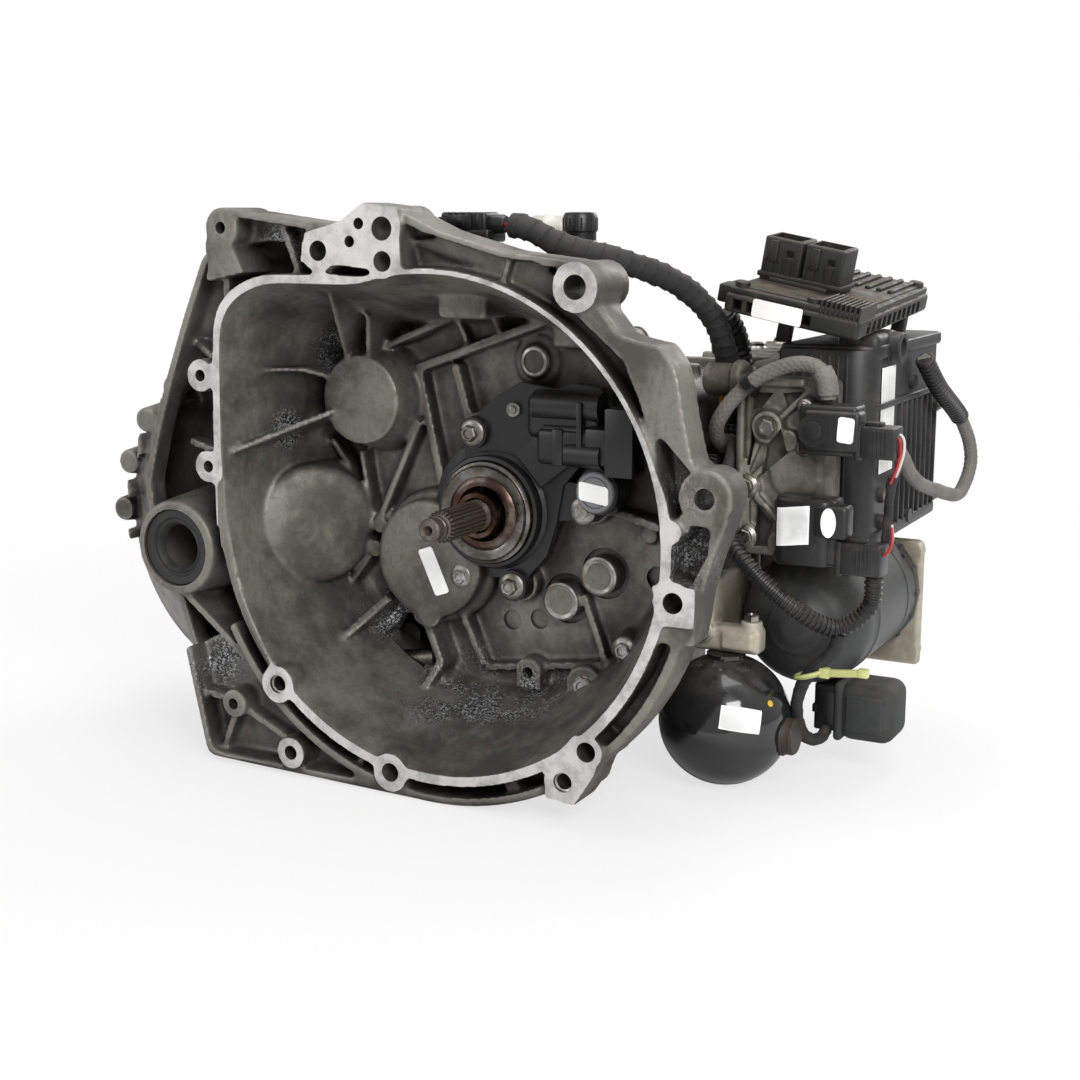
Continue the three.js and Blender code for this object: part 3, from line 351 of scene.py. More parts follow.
def cast_alloy(name, light, dark, shade_colour, shade_share=0.5, oxide=(), metal=0.55):
    """Cast aluminium: mottled grey, with painted shade in its corners and recesses from an occlusion mask
    broken up by noise, lighter on its convex edges as wear and painted highlight, and with a sandy skin. At
    the oxide places the colour is darkened to near black in patches, with white oxide grain on top."""
    material, tree, shader = new_material(name)
    blotch = ramp(tree, noise(tree, 14, 6, 0.68), 0.4, 0.64)
    colour = blended(tree, blotch, light, dark)
    run = node(tree, "Mapping", Vector=node(tree, "TexCoord").outputs["Object"],
               Scale=(1.0, 1.0, 0.22)).outputs[0]
    streak = ramp(tree, noise(tree, 60, 5, 0.7, run), 0.5, 0.72, 0.0, 0.5)
    colour = blended(tree, streak, colour, dark)
    fleck = ramp(tree, noise(tree, 260, 3, 0.7), 0.42, 0.72, 0.0, 0.35)
    colour = blended(tree, fleck, colour, dark)
    # Convex edges are lightened: partly wear, partly a painted highlight.
    lighter_edge = ramp(tree, node(tree, "NewGeometry").outputs["Pointiness"], 0.515, 0.56, 0.0, 0.6)
    colour = blended(tree, lighter_edge, colour, [min(1, c) for c in scaled(light, 1.35)])
    # Painted shade: an ambient-occlusion mask, broken up by noise, darkens corners and recesses towards the
    # third colour.
    corner = node(tree, "AmbientOcclusion", {"samples": 6}, Distance=0.03).outputs["AO"]
    corner_shade = times(tree, ramp(tree, corner, 0.25, 0.95, 1.0, 0.0),
                  ramp(tree, noise(tree, 30, 4), 0.3, 0.62, 0.35, 1.0))
    colour = blended(tree, times(tree, corner_shade, shade_share), colour, shade_colour)
    if oxide:
        patch = times(tree, near(tree, oxide), ramp(tree, noise(tree, 46, 4, 0.7), 0.4, 0.56))
        colour = blended(tree, times(tree, patch, 0.85), colour, (0.012, 0.011, 0.01, 1))
        grain = times(tree, patch, ramp(tree, noise(tree, 620, 5, 0.85), 0.5, 0.57))
        colour = blended(tree, grain, colour, (0.62, 0.64, 0.66, 1))
    tree.links.new(colour, shader.inputs["Base Color"])
    shader.inputs["Metallic"].default_value = metal
    tree.links.new(ramp(tree, noise(tree, 40, 4), 0.3, 0.7, 0.42, 0.66), shader.inputs["Roughness"])
    rough_skin(tree, shader,
               [(noise(tree, 1300, 3, 0.6), 0.35, 0.0004), (noise(tree, 90, 4, 0.6), 0.25, 0.0015)])
    return material


def milled_alloy(name, colour, swirl=900):
    """A milled face: bright, with fine cutter lines and specks of oxide."""
    material, tree, shader = new_material(name)
    where = node(tree, "TexCoord").outputs["Object"]
    lines = node(tree, "TexNoise", Scale=swirl, Detail=2.0, Vector=node(
        tree, "Mapping", Vector=where, Scale=(1.0, 1.0, 0.06)).outputs[0]).outputs["Fac"]
    shade = blended(tree, ramp(tree, noise(tree, 55, 5, 0.65), 0.4, 0.68), colour, scaled(colour, 0.6))
    shade = blended(tree, ramp(tree, noise(tree, 500, 4, 0.7), 0.62, 0.72, 0.0, 0.6), shade,
                    (0.09, 0.08, 0.07, 1))
    tree.links.new(shade, shader.inputs["Base Color"])
    shader.inputs["Metallic"].default_value = 0.9
    tree.links.new(ramp(tree, noise(tree, 120, 3), 0.3, 0.7, 0.3, 0.5), shader.inputs["Roughness"])
    rough_skin(tree, shader, [(lines, 0.12, 0.0002)])
    return material


oxide_places = [
    ((-22, 74, -130), 52), ((-95, 100, -88), 30), ((-124, 88, 100), 30), ((-146, 52, 50), 20),
    ((170, 14, 34), 24), ((172, 14, 0), 30), ((30, 84, -132), 40), ((-120, 20, 168), 30),
    ((-186, 14, -110), 34)]
# Its near-black third colour is the painted shade in the bell's corners and recesses.
bell_alloy = cast_alloy("bell_alloy", (0.235, 0.222, 0.196, 1), (0.09, 0.083, 0.072, 1),
                        (0.012, 0.01, 0.008, 1), 0.92, oxide_places, 0.6)
milled = milled_alloy("milled_alloy", (0.74, 0.73, 0.7, 1))

outline_steps = 360
outline_middle = (-10, 0)
bell_radius, bell_depth, floor_back = 160, 104, 112
frame_depth, pocket_depth, wall = 32, 26, 6
foot_height = -181


def in_range(low, high):
    return np.array([(low <= degree <= high) for degree in range(outline_steps)])


def circle_reach(x, z, radius):
    """How far a circle reaches from the outline's middle, in every direction."""
    turn = np.arange(outline_steps) * 2 * np.pi / outline_steps
    dx, dz = x - outline_middle[0], z - outline_middle[1]
    along = dx * np.cos(turn) + dz * np.sin(turn)
    across = dx * np.sin(turn) - dz * np.cos(turn)
    room = radius ** 2 - across ** 2
    return np.where(room > 0, along + np.sqrt(np.maximum(room, 0)), 0)


def corner_reach(corners):
    """How far a polygon reaches from the outline's middle, in every direction."""
    turn = np.arange(outline_steps) * 2 * np.pi / outline_steps
    reach = np.zeros(outline_steps)
    moved = [(x - outline_middle[0], z - outline_middle[1]) for x, z in corners]
    for (ax, az), (bx, bz) in zip(moved, moved[1:] + moved[:1]):
        ex, ez = bx - ax, bz - az
        with np.errstate(divide="ignore", invalid="ignore"):
            determinant = np.sin(turn) * ex - np.cos(turn) * ez
            distance = (az * ex - ax * ez) / determinant
            share = (np.cos(turn) * az - np.sin(turn) * ax) / determinant
        hit = np.isfinite(distance) & (share > -1e-6) & (share < 1 + 1e-6)
        reach = np.maximum(reach, np.where(hit, distance, 0))
    return reach


def softened(reach, spread):
    """Rounds an outline's corners over the given number of degrees."""
    weights = np.hanning(2 * spread + 3)[1:-1]
    weights /= weights.sum()
    wrapped = np.concatenate([reach[-spread:], reach, reach[:spread]])
    return np.convolve(wrapped, weights, "valid")


def outline_ring(reach, y):
    depth = np.broadcast_to(y, outline_steps)
    turn = np.arange(outline_steps) * 2 * np.pi / outline_steps
    return [(outline_middle[0] + r * math.cos(a), d, outline_middle[1] + r * math.sin(a))
            for r, a, d in zip(reach, turn, depth)]


def shell(*levels):
    return skin([outline_ring(reach, y) for y, reach in levels])


bell_edge = circle_reach(0, 0, bell_radius)
inner_edge = softened(np.maximum(bell_edge, corner_reach([
    (0, 0), (0, 152), (-122, 152), (-146, 142), (-158, 126), (-160, 80), (-160, 0)])), 5)
ring_edge = circle_reach(0, 0, 181)
frame_edge = softened(np.maximum(ring_edge, corner_reach([
    (0, -181), (-185, -177), (-202, -100), (-206, -64), (-172, -45), (-168, 60), (-168, 150), (-171, 178),
    (-158, 200), (-60, 188), (-32, 200), (-14, 196), (8, 186), (54, 174), (100, 169), (115, 160),
    (119, 146), (100, 100)])), 1)
skirt_edge = softened(np.maximum(ring_edge, corner_reach([
    (0, -181), (-180, -173), (-210, -100), (-222, -60), (-240, -20), (-245, 10), (-234, 50), (-222, 84),
    (-204, 128), (-184, 172), (-140, 184), (-60, 180), (30, 180), (100, 150)])), 2)
lip_width = softened(np.where(in_range(14, 104), 3.4, 6.8), 6)
(final_x, final_z), (output_x, output_z) = [
    [1000 * (joint_places[name][axis] - base) for axis, base in ((0, shaft_x), (2, shaft_z))]
    for name in ("differential_spin", "output_spin")]
pod_radius = 125
case_corners = [(105, 70), (95, 80), (0, 72), (-70, 60), (-120, 10), (-140, -50), (-125, -100), (-60, -124),
                (36, -122), (95, -100), (105, -90)]
joint_edge = softened(np.maximum.reduce([
    circle_reach(0, 0, 142), circle_reach(final_x, final_z, pod_radius),
    corner_reach(case_corners)]), 3) + 3.5

# Screw bosses of the engine face: x, z, boss radius, hole radius, and whether the mill reached them.
flange_bosses = [
    (-156, 187, 13, 4, 0), (-176, 90, 11, 4, 1), (-172, 29, 11, 4, 1), (-120, -116, 13, 6.4, 1),
    (-160, -136, 10, 4, 0), (-111, -163, 11, 5, 1), (-31, -164, 13, 6.4, 1), (96, -150, 13, 6.4, 1),
    (112, -128, 11, 6.4, 1), (168, -28, 13, 6.4, 1), (186, 35, 17, 6.4, 0), (103, 154, 15, 7.4, 1),
    (-78, 173, 13, 6.4, 1), (-30, 187, 14, 7.4, 1), (-30, 167, 11, 6.4, 1), (-54, 179, 6, 3.6, 1),
    (-47, 190, 6, 3.6, 1)]
proud = -1.5  # the mill takes off what stands proud of the face
unmilled = 2.2  # how far the cast faces that the mill missed stand back

left_side = in_range(112, 208)
lip_front = np.where(in_range(190, 222), unmilled, proud)
lip_outside = inner_edge + lip_width
bell_back = np.maximum(joint_edge, 0.8 * inner_edge + 8)
outer_shell = joined(
    shell((unmilled, frame_edge - 1.2), (unmilled + 2, frame_edge), (frame_depth + 2, frame_edge)),
    shell((frame_depth - 15, skirt_edge - 1.5), (frame_depth, skirt_edge), (floor_back - 6, bell_back),
          (floor_back, bell_back)))
pocket_edge = softened(np.where(in_range(22, 98), circle_reach(0, 0, 188), ring_edge), 4)
pocket_edge = np.minimum(frame_edge, pocket_edge) - np.where(in_range(22, 98), 4, wall)
pocket_back = softened(np.where(in_range(22, 98), 13, pocket_depth), 4)
ring_pocket = cut(shell((-2, pocket_edge), (pocket_back, pocket_edge)),
                  shell((-3, lip_outside), (pocket_depth + 1, lip_outside - 3)))
ledge_inside = np.maximum(ring_edge, lip_outside)
ledge_pocket = cut(shell((-2, frame_edge - wall), (pocket_depth - 6, frame_edge - wall)),
                   shell((-3, ledge_inside), (pocket_depth, ledge_inside)))
valley_depth = 84
valley_end = (valley_depth - frame_depth) / (floor_back - 6 - frame_depth)
valley_inside = lip_outside - 0.2 * inner_edge * valley_depth / bell_depth
valley_out = np.where(left_side, skirt_edge - wall - 1, 20)
valley_back = np.where(left_side, skirt_edge + (bell_back - skirt_edge) * valley_end - wall, 19)
valley = cut(shell((-2, valley_out), (frame_depth, valley_out), (valley_depth, valley_back)),
             shell((-3, lip_outside), (valley_depth + 1, valley_inside)))
right_pockets = ([(153.7, 69.9), (159.8, 66.9), (176.9, 49.1), (174.9, 28.7), (166.6, 20.1), (161.2, 20.8)],
                 [(163.1, 9.5), (167.9, 16.8), (189.4, 19.8), (188.1, 2.8), (177, -18.9), (163.6, -18)])
right_wall = plate([
    (128, 128), (143, 124), (157, 121.5), (165.7, 110.6), (168.3, 101.8), (172.3, 79.5), (177.6, 57.2),
    (181.5, 48.3), (192.4, 45.6), (200.7, 38.1), (200, 22), (191, -1.3), (184.3, -25.3), (180, -54),
    (160, -54), (160, -20), (159, 20), (153, 56), (150, 70), (143, 90), (134, 110)], unmilled, 28)
cut(outer_shell, ring_pocket, ledge_pocket, valley, *[plate(pocket, -3, 30) for pocket in right_pockets])
cut(right_wall, *[plate(pocket, -3, 24) for pocket in right_pockets])

bosses = [drum(x, z, radius, proud if milled_off else 1.8, 30 if x > 150 else frame_depth + 14, sides=40)
          for x, z, radius, _, milled_off in flange_bosses]
lands = [
    plate([(-92, 166), (-88, 184), (-60, 192), (-44, 203), (-18, 200), (-16, 160), (-62, 164)], proud, 30),
    plate([(84, -140), (104, -118), (122, -122), (118, -142), (104, -164), (84, -162)], proud, 30),
    plate([(154, -18), (160, -42), (182, -42), (182, -18)], proud, 30),
    plate([(92, 146), (112, 152), (118, 143), (140, 115), (133, 112)], unmilled, 30), right_wall,
    drum(165.8, 14, 7, proud, 24, 8, 32), plate([(158, 8), (158, 21), (176, 21), (176, 14)], unmilled, 24),
    plate([(-170, 152), (-140, 158), (-146, 170), (-156, 190), (-168, 182)], 3, 40),
]
web_start, web_end, web_front, web_thickness = 164, 178, 8, 4
webs = []
for angle in (-72, -58, 72, 96, 250, 290):
    cos, sin = math.cos(math.radians(angle)), math.sin(math.radians(angle))
    webs.append(fin((web_start * cos, web_front, web_start * sin), (web_end * cos, web_front, web_end * sin),
                    web_thickness, pocket_depth + 4))
ledge_ribs = [fin(a, b, 5, 40) for a, b in [
    ((-206, 6, -60), (-132, 6, -118)), ((-196, 8, -132), (-160, 8, -136)), ((-160, 8, -138), (-112, 8, -160)),
    ((-160, 8, -136), (-176, 10, -172)), ((-176, 20, 96), (-205, 30, 110)), ((-174, 20, 34), (-212, 30, 40)),
    ((-156, 6, 186), (-158, 8, 140)), ((-100, 8, 160), (-112, 8, 190))]]
rim_bosses = [drum(final_x + 120 * math.cos(a), final_z + 120 * math.sin(a), 9, 84, 110, 12, 40)
              for a in np.radians((106, 124, 142, 160, 178))]
neck = turned([(30.5, 0.4), (32, 1), (33, 4), (34, 14), (38, 60), (48, 104)], (final_x, 0, final_z))

cavity_floor = 0.8 * inner_edge
cavity = shell((-3, inner_edge), (0, inner_edge), (88, inner_edge * (1 - 0.2 * 88 / bell_depth)),
               (97, cavity_floor + 1), (102, cavity_floor - 3), (bell_depth, cavity_floor - 10))
body = cut(joined(outer_shell, shell((lip_front, lip_outside), (20, lip_outside)), neck), cavity)

bulge_spot, bulge_way = Vector((-126.5, 59.5, -17)), Vector((0.75, -0.66, 0)).normalized()
bulge = [round_points(bulge_spot + bulge_way * lift, bulge_way, radius, 64) for radius, lift in (
    (4, 5), (16, 4.4), (28, 3), (37, 0.8), (40.5, -1.2), (42.5, -4))]
bulge.append([point - bulge_way * 6 + Vector((0.04 * (point.x + 126), 0, 0)) for point in bulge[-1]])
bulge.append([Vector((-130 + 0.9 * (point.x + 126.5), 108, point.z)) for point in bulge[-2]])
round_pads = ((75.2, -39.6), (47, -59.7))
floor_parts = [
    drum(-96, 71, 30, 70, 108, 40),                                     # input of the reverse shaft's bearing
    skin(bulge),                                                        # bulge over the ring gear
    turned([(38.5, 0), (41, 1.5), (41, 12), (45, 13), (47, 16), (47, 30)], (output_x + 16, 80, output_z + 8)),
    drum(-55, -77, 9, 82, 108, 11),
    drum(0, 0, 44, 96, 108),                                            # seat of the clutch release
    drum(25, 100, 17, 101, 108), drum(25, 100, 11, 97, 106),            # core plug
    *[drum(x, z, 13, 93, 108) for x, z in round_pads],
    drum(24.4, -110.9, 10, 88, 108), block((15, 34), (88, 110), (-122, -111)),
    drum(67, -115, 14, 88, 110), drum(98, -85, 9, 84, 108, 12), drum(-50, -125, 9, 88, 110, 12),
    drum(108.7, -9.7, 6, 98, 108), drum(-49.2, -77, 9, 80, 110), drum(-98, -36, 6, 88, 110),
    drum(-93, -19, 6, 88, 110), drum(-14, 52, 13, 92, 108), drum(16, -50, 13, 92, 108),
    drum(70, 8, 13, 92, 108),
]
floor_fins = [fin(a, b, thickness) for a, b, thickness in [
    ((-109, 73, 99), (-77, 6, 153), 3.4), ((-92, 74, 98), (-82, 60, 128), 3.4),
    ((-82, 60, 128), (-94, 38, 152), 3.4), ((-116, 75, 83), (-134, 56, 91), 3.4),
    ((-134, 56, 91), (-152, 27, 92), 3), ((-112, 75, 65), (-136, 42, 52), 4.2),
    ((-136, 42, 52), (-157, 6, 39.6), 4.2), ((-95, 86, 103), (-35, 90, 128), 5),
    ((-64, 92, 92), (40, 90, 129), 6), ((-70, 92, 112), (-32, 92, 128), 4),
    ((-32, 92, 128), (-25, 94, 110), 4), ((-63, 92, 92), (-44, 92, 8), 6),
    ((-34, 92, 96), (-16, 92, 34), 6), ((-62, 90, 56), (-93, 90, -10), 5),
    ((-93, 90, -10), (-102, 90, -22), 5), ((-132, 86, 40), (-120, 88, 22), 4.5),
    ((-120, 88, 22), (-116, 88, 2), 4.5), ((-116, 88, 2), (-102, 90, -20), 4.5),
    ((-110, 90, 33), (-107, 90, 14), 4), ((-107, 90, 14), (-100, 90, -18), 4),
    ((-102, 90, -22), (-132, 86, -65), 5), ((-100, 90, -36), (-127, 88, -72), 5),
    ((-87, 88, -70), (-104, 62, -92), 6), ((-104, 62, -92), (-118, 34, -108), 6),
    ((-56, 82, -76), (-42, 82, -111), 6), ((-42, 82, -111), (-61, 62, -152), 6),
    ((-30, 90, -74), (-14, 94, -112), 5), ((62, 96, -54), (80, 94, -100), 5),
    ((76, 97, 6), (122, 84, -2), 6), ((-14, 96, -114), (84, 96, -100), 5), ((64, 97, 60), (112, 84, 84), 5),
    ((-2, 96, 118), (8, 60, 142), 5)]]
seats = [
    block((-18, 18), (44, 76), (130, 178), 3), block((41, 69), (90, 112), (110, 158), 3),
    cut(drum(-96, 71, 20, 92, 100), drum(-96, 71, 12, 90, 99)),
]
rim_webs = [fin((final_x + 100 * math.cos(a), 66, final_z + 100 * math.sin(a)),
                (final_x + 124 * math.cos(a), 92, final_z + 124 * math.sin(a)), 5, 110)
            for a in np.radians((98, 115, 133, 151, 169, 187))]
bell = cast([body, *bosses, *lands, *webs, *ledge_ribs, *rim_bosses, *rim_webs, *floor_parts, *floor_fins,
             *seats], 1.6, 4)

hole_back = frame_depth + 40
drills = [drum(x, z, radius, -10, hole_back, sides=32) for x, z, _, radius, _ in flange_bosses]
beyond = 400  # further out than any piece
neck_mouth = 45  # nothing this near the final drive's axis is milled
mill = block((-beyond, beyond), (-60, 0), (-beyond, beyond))
cut(bell, mill, *drills)
cut(bell,
    drum(final_x, final_z, 27, -5, 60), drum(final_x, final_z, 40, 60, 130), drum(0, 0, 17.5, 80, 130),
    drum(0, 0, 28, floor_back - 13.3, 130), drum(output_x, output_z, 31, floor_back - 16.3, 130),
    drum(24.4, -110.9, 4, 80, 100, sides=24), drum(4.2, -79.6, 7, 101.5, 106),
    drum(25.3, -76.5, 7, 101.5, 106), drum(113, -39, 8, 98, 108),
    plate([(-94, -100), (-84, -84), (-66, -84), (-60, -104), (-60, -130), (-80, -134)], 90, 130),
    *[cut(drum(x, z, 17.5, 100, 107), drum(x, z, 13.2, 99, 108)) for x, z in round_pads])

# The milled face has its own finish.
bell.data.materials.append(bell_alloy)
bell.data.materials.append(milled)
for face in bell.data.polygons:
    middle = face.center
    past_neck = math.hypot(middle.x - final_x, middle.z - final_z) > neck_mouth
    on_face = abs(middle.y) < 0.06 and face.normal.y < -0.98 and past_neck
    face.material_index = 1 if on_face else 0
indices = [face.material_index for face in bell.data.polygons]
finished(bell, "bell_casting", "casing", (bell_alloy, milled), 32, ("bell_housing",))
for face, index in zip(bell.data.polygons, indices):
    face.material_index = index


# ---- input shaft ----
# Case-hardened steel with a splined nose for the clutch plate and a pilot that runs in the crankshaft. The
# first, second and reverse pinions are cut on it. What shows outside the box is brown with rust.
def rusted_steel(name, rust, bare, share=0.75):
    material, tree, shader = new_material(name)
    patch = ramp(tree, noise(tree, 150, 5, 0.7), 0.34, 0.62)
    colour = blended(tree, times(tree, patch, share), bare, rust)
    colour = blended(tree, ramp(tree, noise(tree, 700, 3, 0.7), 0.5, 0.75, 0.0, 0.6), colour,
                     scaled(rust, 0.35))
    lighter_edge = ramp(tree, node(tree, "NewGeometry").outputs["Pointiness"], 0.53, 0.62, 0.0, 0.55)
    colour = blended(tree, lighter_edge, colour, [min(1, c) for c in scaled(rust, 2.2)])
    tree.links.new(colour, shader.inputs["Base Color"])
    tree.links.new(ramp(tree, patch, 0, 1, 0.7, 0.25), shader.inputs["Metallic"])
    tree.links.new(ramp(tree, noise(tree, 260, 3), 0.3, 0.7, 0.3, 0.6), shader.inputs["Roughness"])
    rough_skin(tree, shader, [(noise(tree, 900, 4, 0.7), 0.3, 0.0003)])
    return material


shaft_rust = rusted_steel("shaft_rust", (0.052, 0.034, 0.022, 1), (0.2, 0.175, 0.15, 1), 0.8)
input_journal, spline_radius, pilot_radius = 13, 10.6, 7.6
spline_front, spline_back, spline_teeth = 15, 60, 22
shaft_back = 379.3
tooth_module = 4


def toothed(corners, teeth, x=0.0, z=0.0, phase=0.0):
    """An outline of [radius, share of a tooth] corners, repeated round a centre."""
    step = 2 * math.pi / teeth
    return [(x + radius * math.cos(phase + step * (tooth + part)),
             z + radius * math.sin(phase + step * (tooth + part)))
            for tooth in range(teeth) for radius, part in corners]


def pinion(teeth, front, width, phase=math.radians(215)):
    pitch = tooth_module * teeth / 2
    return plate(toothed([(pitch - 3.8, -0.3), (pitch + 2.8, 0), (pitch - 3.8, 0.3)], teeth, phase=phase),
                 front, front + width)


nose = cut(turned([
    (3.4, 1), (pilot_radius - 1.6, 1), (pilot_radius, 2.6), (pilot_radius, 9), (pilot_radius - 0.5, 9.5),
    (pilot_radius - 0.5, 10.5), (pilot_radius, 11), (pilot_radius, spline_front - 1),
    (spline_radius - 2.2, spline_front), (spline_radius - 2.2, spline_back),
    (spline_radius, spline_back + 3), (spline_radius, 96), (input_journal, 98),
    (input_journal, shaft_back)], sides=96),
    turned([(3.6, 0.5), (1.2, 6), (1.2, 14), (0.1, 15)], sides=32))
spline_shape = [(spline_radius - 2.2, -0.28), (spline_radius - 0.3, -0.2), (spline_radius, -0.1),
                (spline_radius, 0.1), (spline_radius - 0.3, 0.2), (spline_radius - 2.2, 0.28)]
spline_end = [(radius - 1.3 if radius > 9 else radius, part) for radius, part in spline_shape]
splines = skin([[(x, y, z) for x, z in toothed(shape, spline_teeth)] for shape, y in (
    (spline_end, spline_front), (spline_shape, spline_front + 1.6), (spline_shape, spline_back - 4),
    (spline_end, spline_back))])
input_shaft = together(nose, splines, pinion(9, 174.3, 15), pinion(13, 217.3, 15), pinion(9, 156.3, 12))
finished(input_shaft, "input_shaft_turned", "input_shaft", (shaft_rust,), 28, ("input_shaft",))


# ---- clutch release bearing and its guide tube ----
# An angular-contact bearing that slides on a steel tube: a pressed outer shell with rolled ridges, a black
# seal, and a domed thrust ring that the clutch fingers have heated brown.
def turned_steel(name, colour, tint=None, rough=(0.22, 0.42), lines=(0.02, 1, 0.02)):
    """Turned or ground steel with fine rings round Y; a tint is the colour that heat or grease leaves."""
    material, tree, shader = new_material(name)
    where = node(tree, "TexCoord").outputs["Object"]
    streak = node(tree, "TexNoise", Scale=1500.0, Detail=2.0, Vector=node(
        tree, "Mapping", Vector=where, Scale=lines).outputs[0]).outputs["Fac"]
    shade = blended(tree, ramp(tree, noise(tree, 180, 4, 0.6), 0.4, 0.7, 0.0, 0.7), colour,
                    scaled(colour, 0.5))
    if tint:
        shade = blended(tree, ramp(tree, noise(tree, 60, 4, 0.6), 0.34, 0.6), shade, tint)
    tree.links.new(shade, shader.inputs["Base Color"])
    shader.inputs["Metallic"].default_value = 1.0
    tree.links.new(ramp(tree, noise(tree, 220, 3), 0.3, 0.7, *rough), shader.inputs["Roughness"])
    rough_skin(tree, shader, [(streak, 0.15, 0.0002), (noise(tree, 700, 3), 0.08, 0.0003)])
    return material


def moulded(name, colour, rough=0.5, dust=0.35, dust_colour=(0.16, 0.145, 0.12, 1), grain=1600.0, depth=0.12):
    """Moulded plastic or rubber with a fine spark-eroded grain, and dust that has settled on top."""
    material, tree, shader = new_material(name)
    shade = blended(tree, ramp(tree, noise(tree, 45, 4, 0.6), 0.35, 0.7, 0.0, 0.5), colour,
                    scaled(colour, 1.6))
    scuff = ramp(tree, node(tree, "NewGeometry").outputs["Pointiness"], 0.54, 0.64, 0.0, 0.35)
    shade = blended(tree, scuff, shade, scaled(colour, 2.6))
    facing = node(tree, "SeparateXYZ", Vector=node(tree, "NewGeometry").outputs["Normal"]).outputs["Z"]
    settled = times(tree, ramp(tree, facing, 0.1, 0.9), ramp(tree, noise(tree, 85, 5, 0.7), 0.34, 0.68))
    smear = ramp(tree, noise(tree, 28, 5, 0.7), 0.5, 0.72, 0.0, 0.45)
    cover = times(tree, times(tree, settled, smear, "ADD"), dust)
    shade = blended(tree, cover, shade, dust_colour)
    tree.links.new(shade, shader.inputs["Base Color"])
    tree.links.new(ramp(tree, cover, 0, 0.6, rough, min(1, rough + 0.3)), shader.inputs["Roughness"])
    rough_skin(tree, shader, [(noise(tree, grain, 2, 0.5), depth, 0.0003), (noise(tree, 70, 3), 0.06, 0.001)])
    return material


bearing_steel = turned_steel("bearing_steel", (0.27, 0.262, 0.25, 1), (0.1, 0.09, 0.075, 1), (0.25, 0.45))
heated_steel = turned_steel("heated_steel", (0.2, 0.16, 0.14, 1), (0.075, 0.042, 0.034, 1), (0.22, 0.42))
black_rubber = moulded("black_rubber", (0.014, 0.014, 0.014, 1), 0.62, 0.3)
guide_radius = 15.5

bearing_shell = turned([
    (25, 70.2), (27.5, 69.2), (31.2, 69.6), (32, 70.6), (32, 72.4), (32.8, 73), (34.1, 73.4), (34.5, 74.2),
    (34.5, 77.6), (33.6, 78.4), (33.6, 79.6), (34.4, 80.4), (34.4, 82.6), (33.4, 83.8), (28, 83.8),
    (24.5, 82)], sides=128, loop=True)
finished(bearing_shell, "release_bearing_shell", "release_bearing", (bearing_steel,), 30,
         ("release_bearing",))
thrust_ring = turned([
    (17, 82), (16.8, 73), (17.3, 70.4), (18.8, 68.5), (20.8, 68), (22.8, 68.5), (24.6, 69.8), (26.4, 71.2),
    (27, 72.6), (26.4, 73.6), (21, 74), (20.4, 82)], sides=128, loop=True)
finished(thrust_ring, "release_bearing_thrust_ring", "release_bearing", (heated_steel,), 30)
bearing_seal = turned([(26.9, 70.6), (28.6, 70.2), (29.4, 71), (28.8, 72.6), (27.2, 73)], sides=96, loop=True)
finished(bearing_seal, "release_bearing_seal", "release_bearing", (black_rubber,), 40)
guide_tube = turned([
    (11.6, 62), (12.2, 61.6), (15, 61.6), (guide_radius, 62.4), (guide_radius, 95.6),
    (11.6, 95.6)], sides=96, loop=True)
finished(guide_tube, "guide_tube_turned", "casing", (turned_steel(
    "guide_steel", (0.2, 0.17, 0.14, 1), (0.07, 0.04, 0.025, 1)),), 30, ("guide_tube",))


# ---- clutch actuator ----
# A concentric slave cylinder moulded in glass-filled nylon, held on the bell floor by three screws. Its arm
# carries the fluid port, with a clip-on cap, and the frame of the position sensor's connector.
black_nylon = moulded("black_nylon", (0.0055, 0.0055, 0.006, 1), 0.36, 0.08)
zinc = turned_steel("zinc_plated_steel", (0.46, 0.45, 0.43, 1), (0.2, 0.18, 0.15, 1), (0.3, 0.5))
paper = moulded("blank_sticker", (0.78, 0.78, 0.76, 1), 0.45, 0.05, (0.5, 0.5, 0.48, 1), 300.0, 0.04)

actuator_seat = 95.7
actuator_ears = [(-14, 52), (16, -50), (70, 8)]
barrel = cut(joined(
    turned([(35.5, 76), (37.5, 76.6), (38, 78), (38, 84), (40.5, 85.5), (41, 88), (47, 89),
            (47, actuator_seat)], sides=96),
    plate([(-22, 30), (-24, 54), (-14, 64), (4, 78), (20, 87), (46, 84), (60, 88), (78, 86), (88, 76),
           (90, 58), (86, 42), (64, 34), (52, 20), (47, -6), (40, -28), (27, -42), (26, -56), (16, -62),
           (6, -56), (4, -46), (-20, -30)], 86, actuator_seat),
    plate([(40, 24), (66, 22), (76, 30), (88, 26), (84, 6), (76, -2), (62, -2), (44, -4)], 88,
          actuator_seat)),
    drum(0, 0, 35.2, 60, 84.4), drum(0, 0, guide_radius + 0.4, 60, 100))
arm_parts = [
    *[drum(x, z, 10.5, 82, actuator_seat, 11.5, 40) for x, z in actuator_ears],
    block((30, 84), (74, 94), (52, 82), 6, 3),
    rod((36, 80, 74), (84, 80, 74), 10, 10, 40),
    block((40, 92), (70, 92), (36, 60), 4, 3),
    plate([(22, 40), (44, 62), (90, 62), (90, 44), (84, 36), (58, 34), (40, 20)], 78, 90),
    rod((44, 77, 58), (92, 76, 58), 5, 5, 24), block((52, 60), (69, 76), (36, 60), 1.5),
    block((70, 74), (68, 80), (38, 78), 1),
    plate([(70, 6), (92, 6), (95, 20), (90, 36), (74, 36), (68, 20)], 84, 92),
    block((76, 104), (68, 86), (38, 62), 2.5, 2), block((92, 99), (66, 88), (60, 74), 1.5, 2),
    drum(81.5, 20, 15, 76, 92, 16, 48),
    rod((62, 76, 44), (88, 74, 44), 9, 9, 32),
]
frame_wall = 3.2
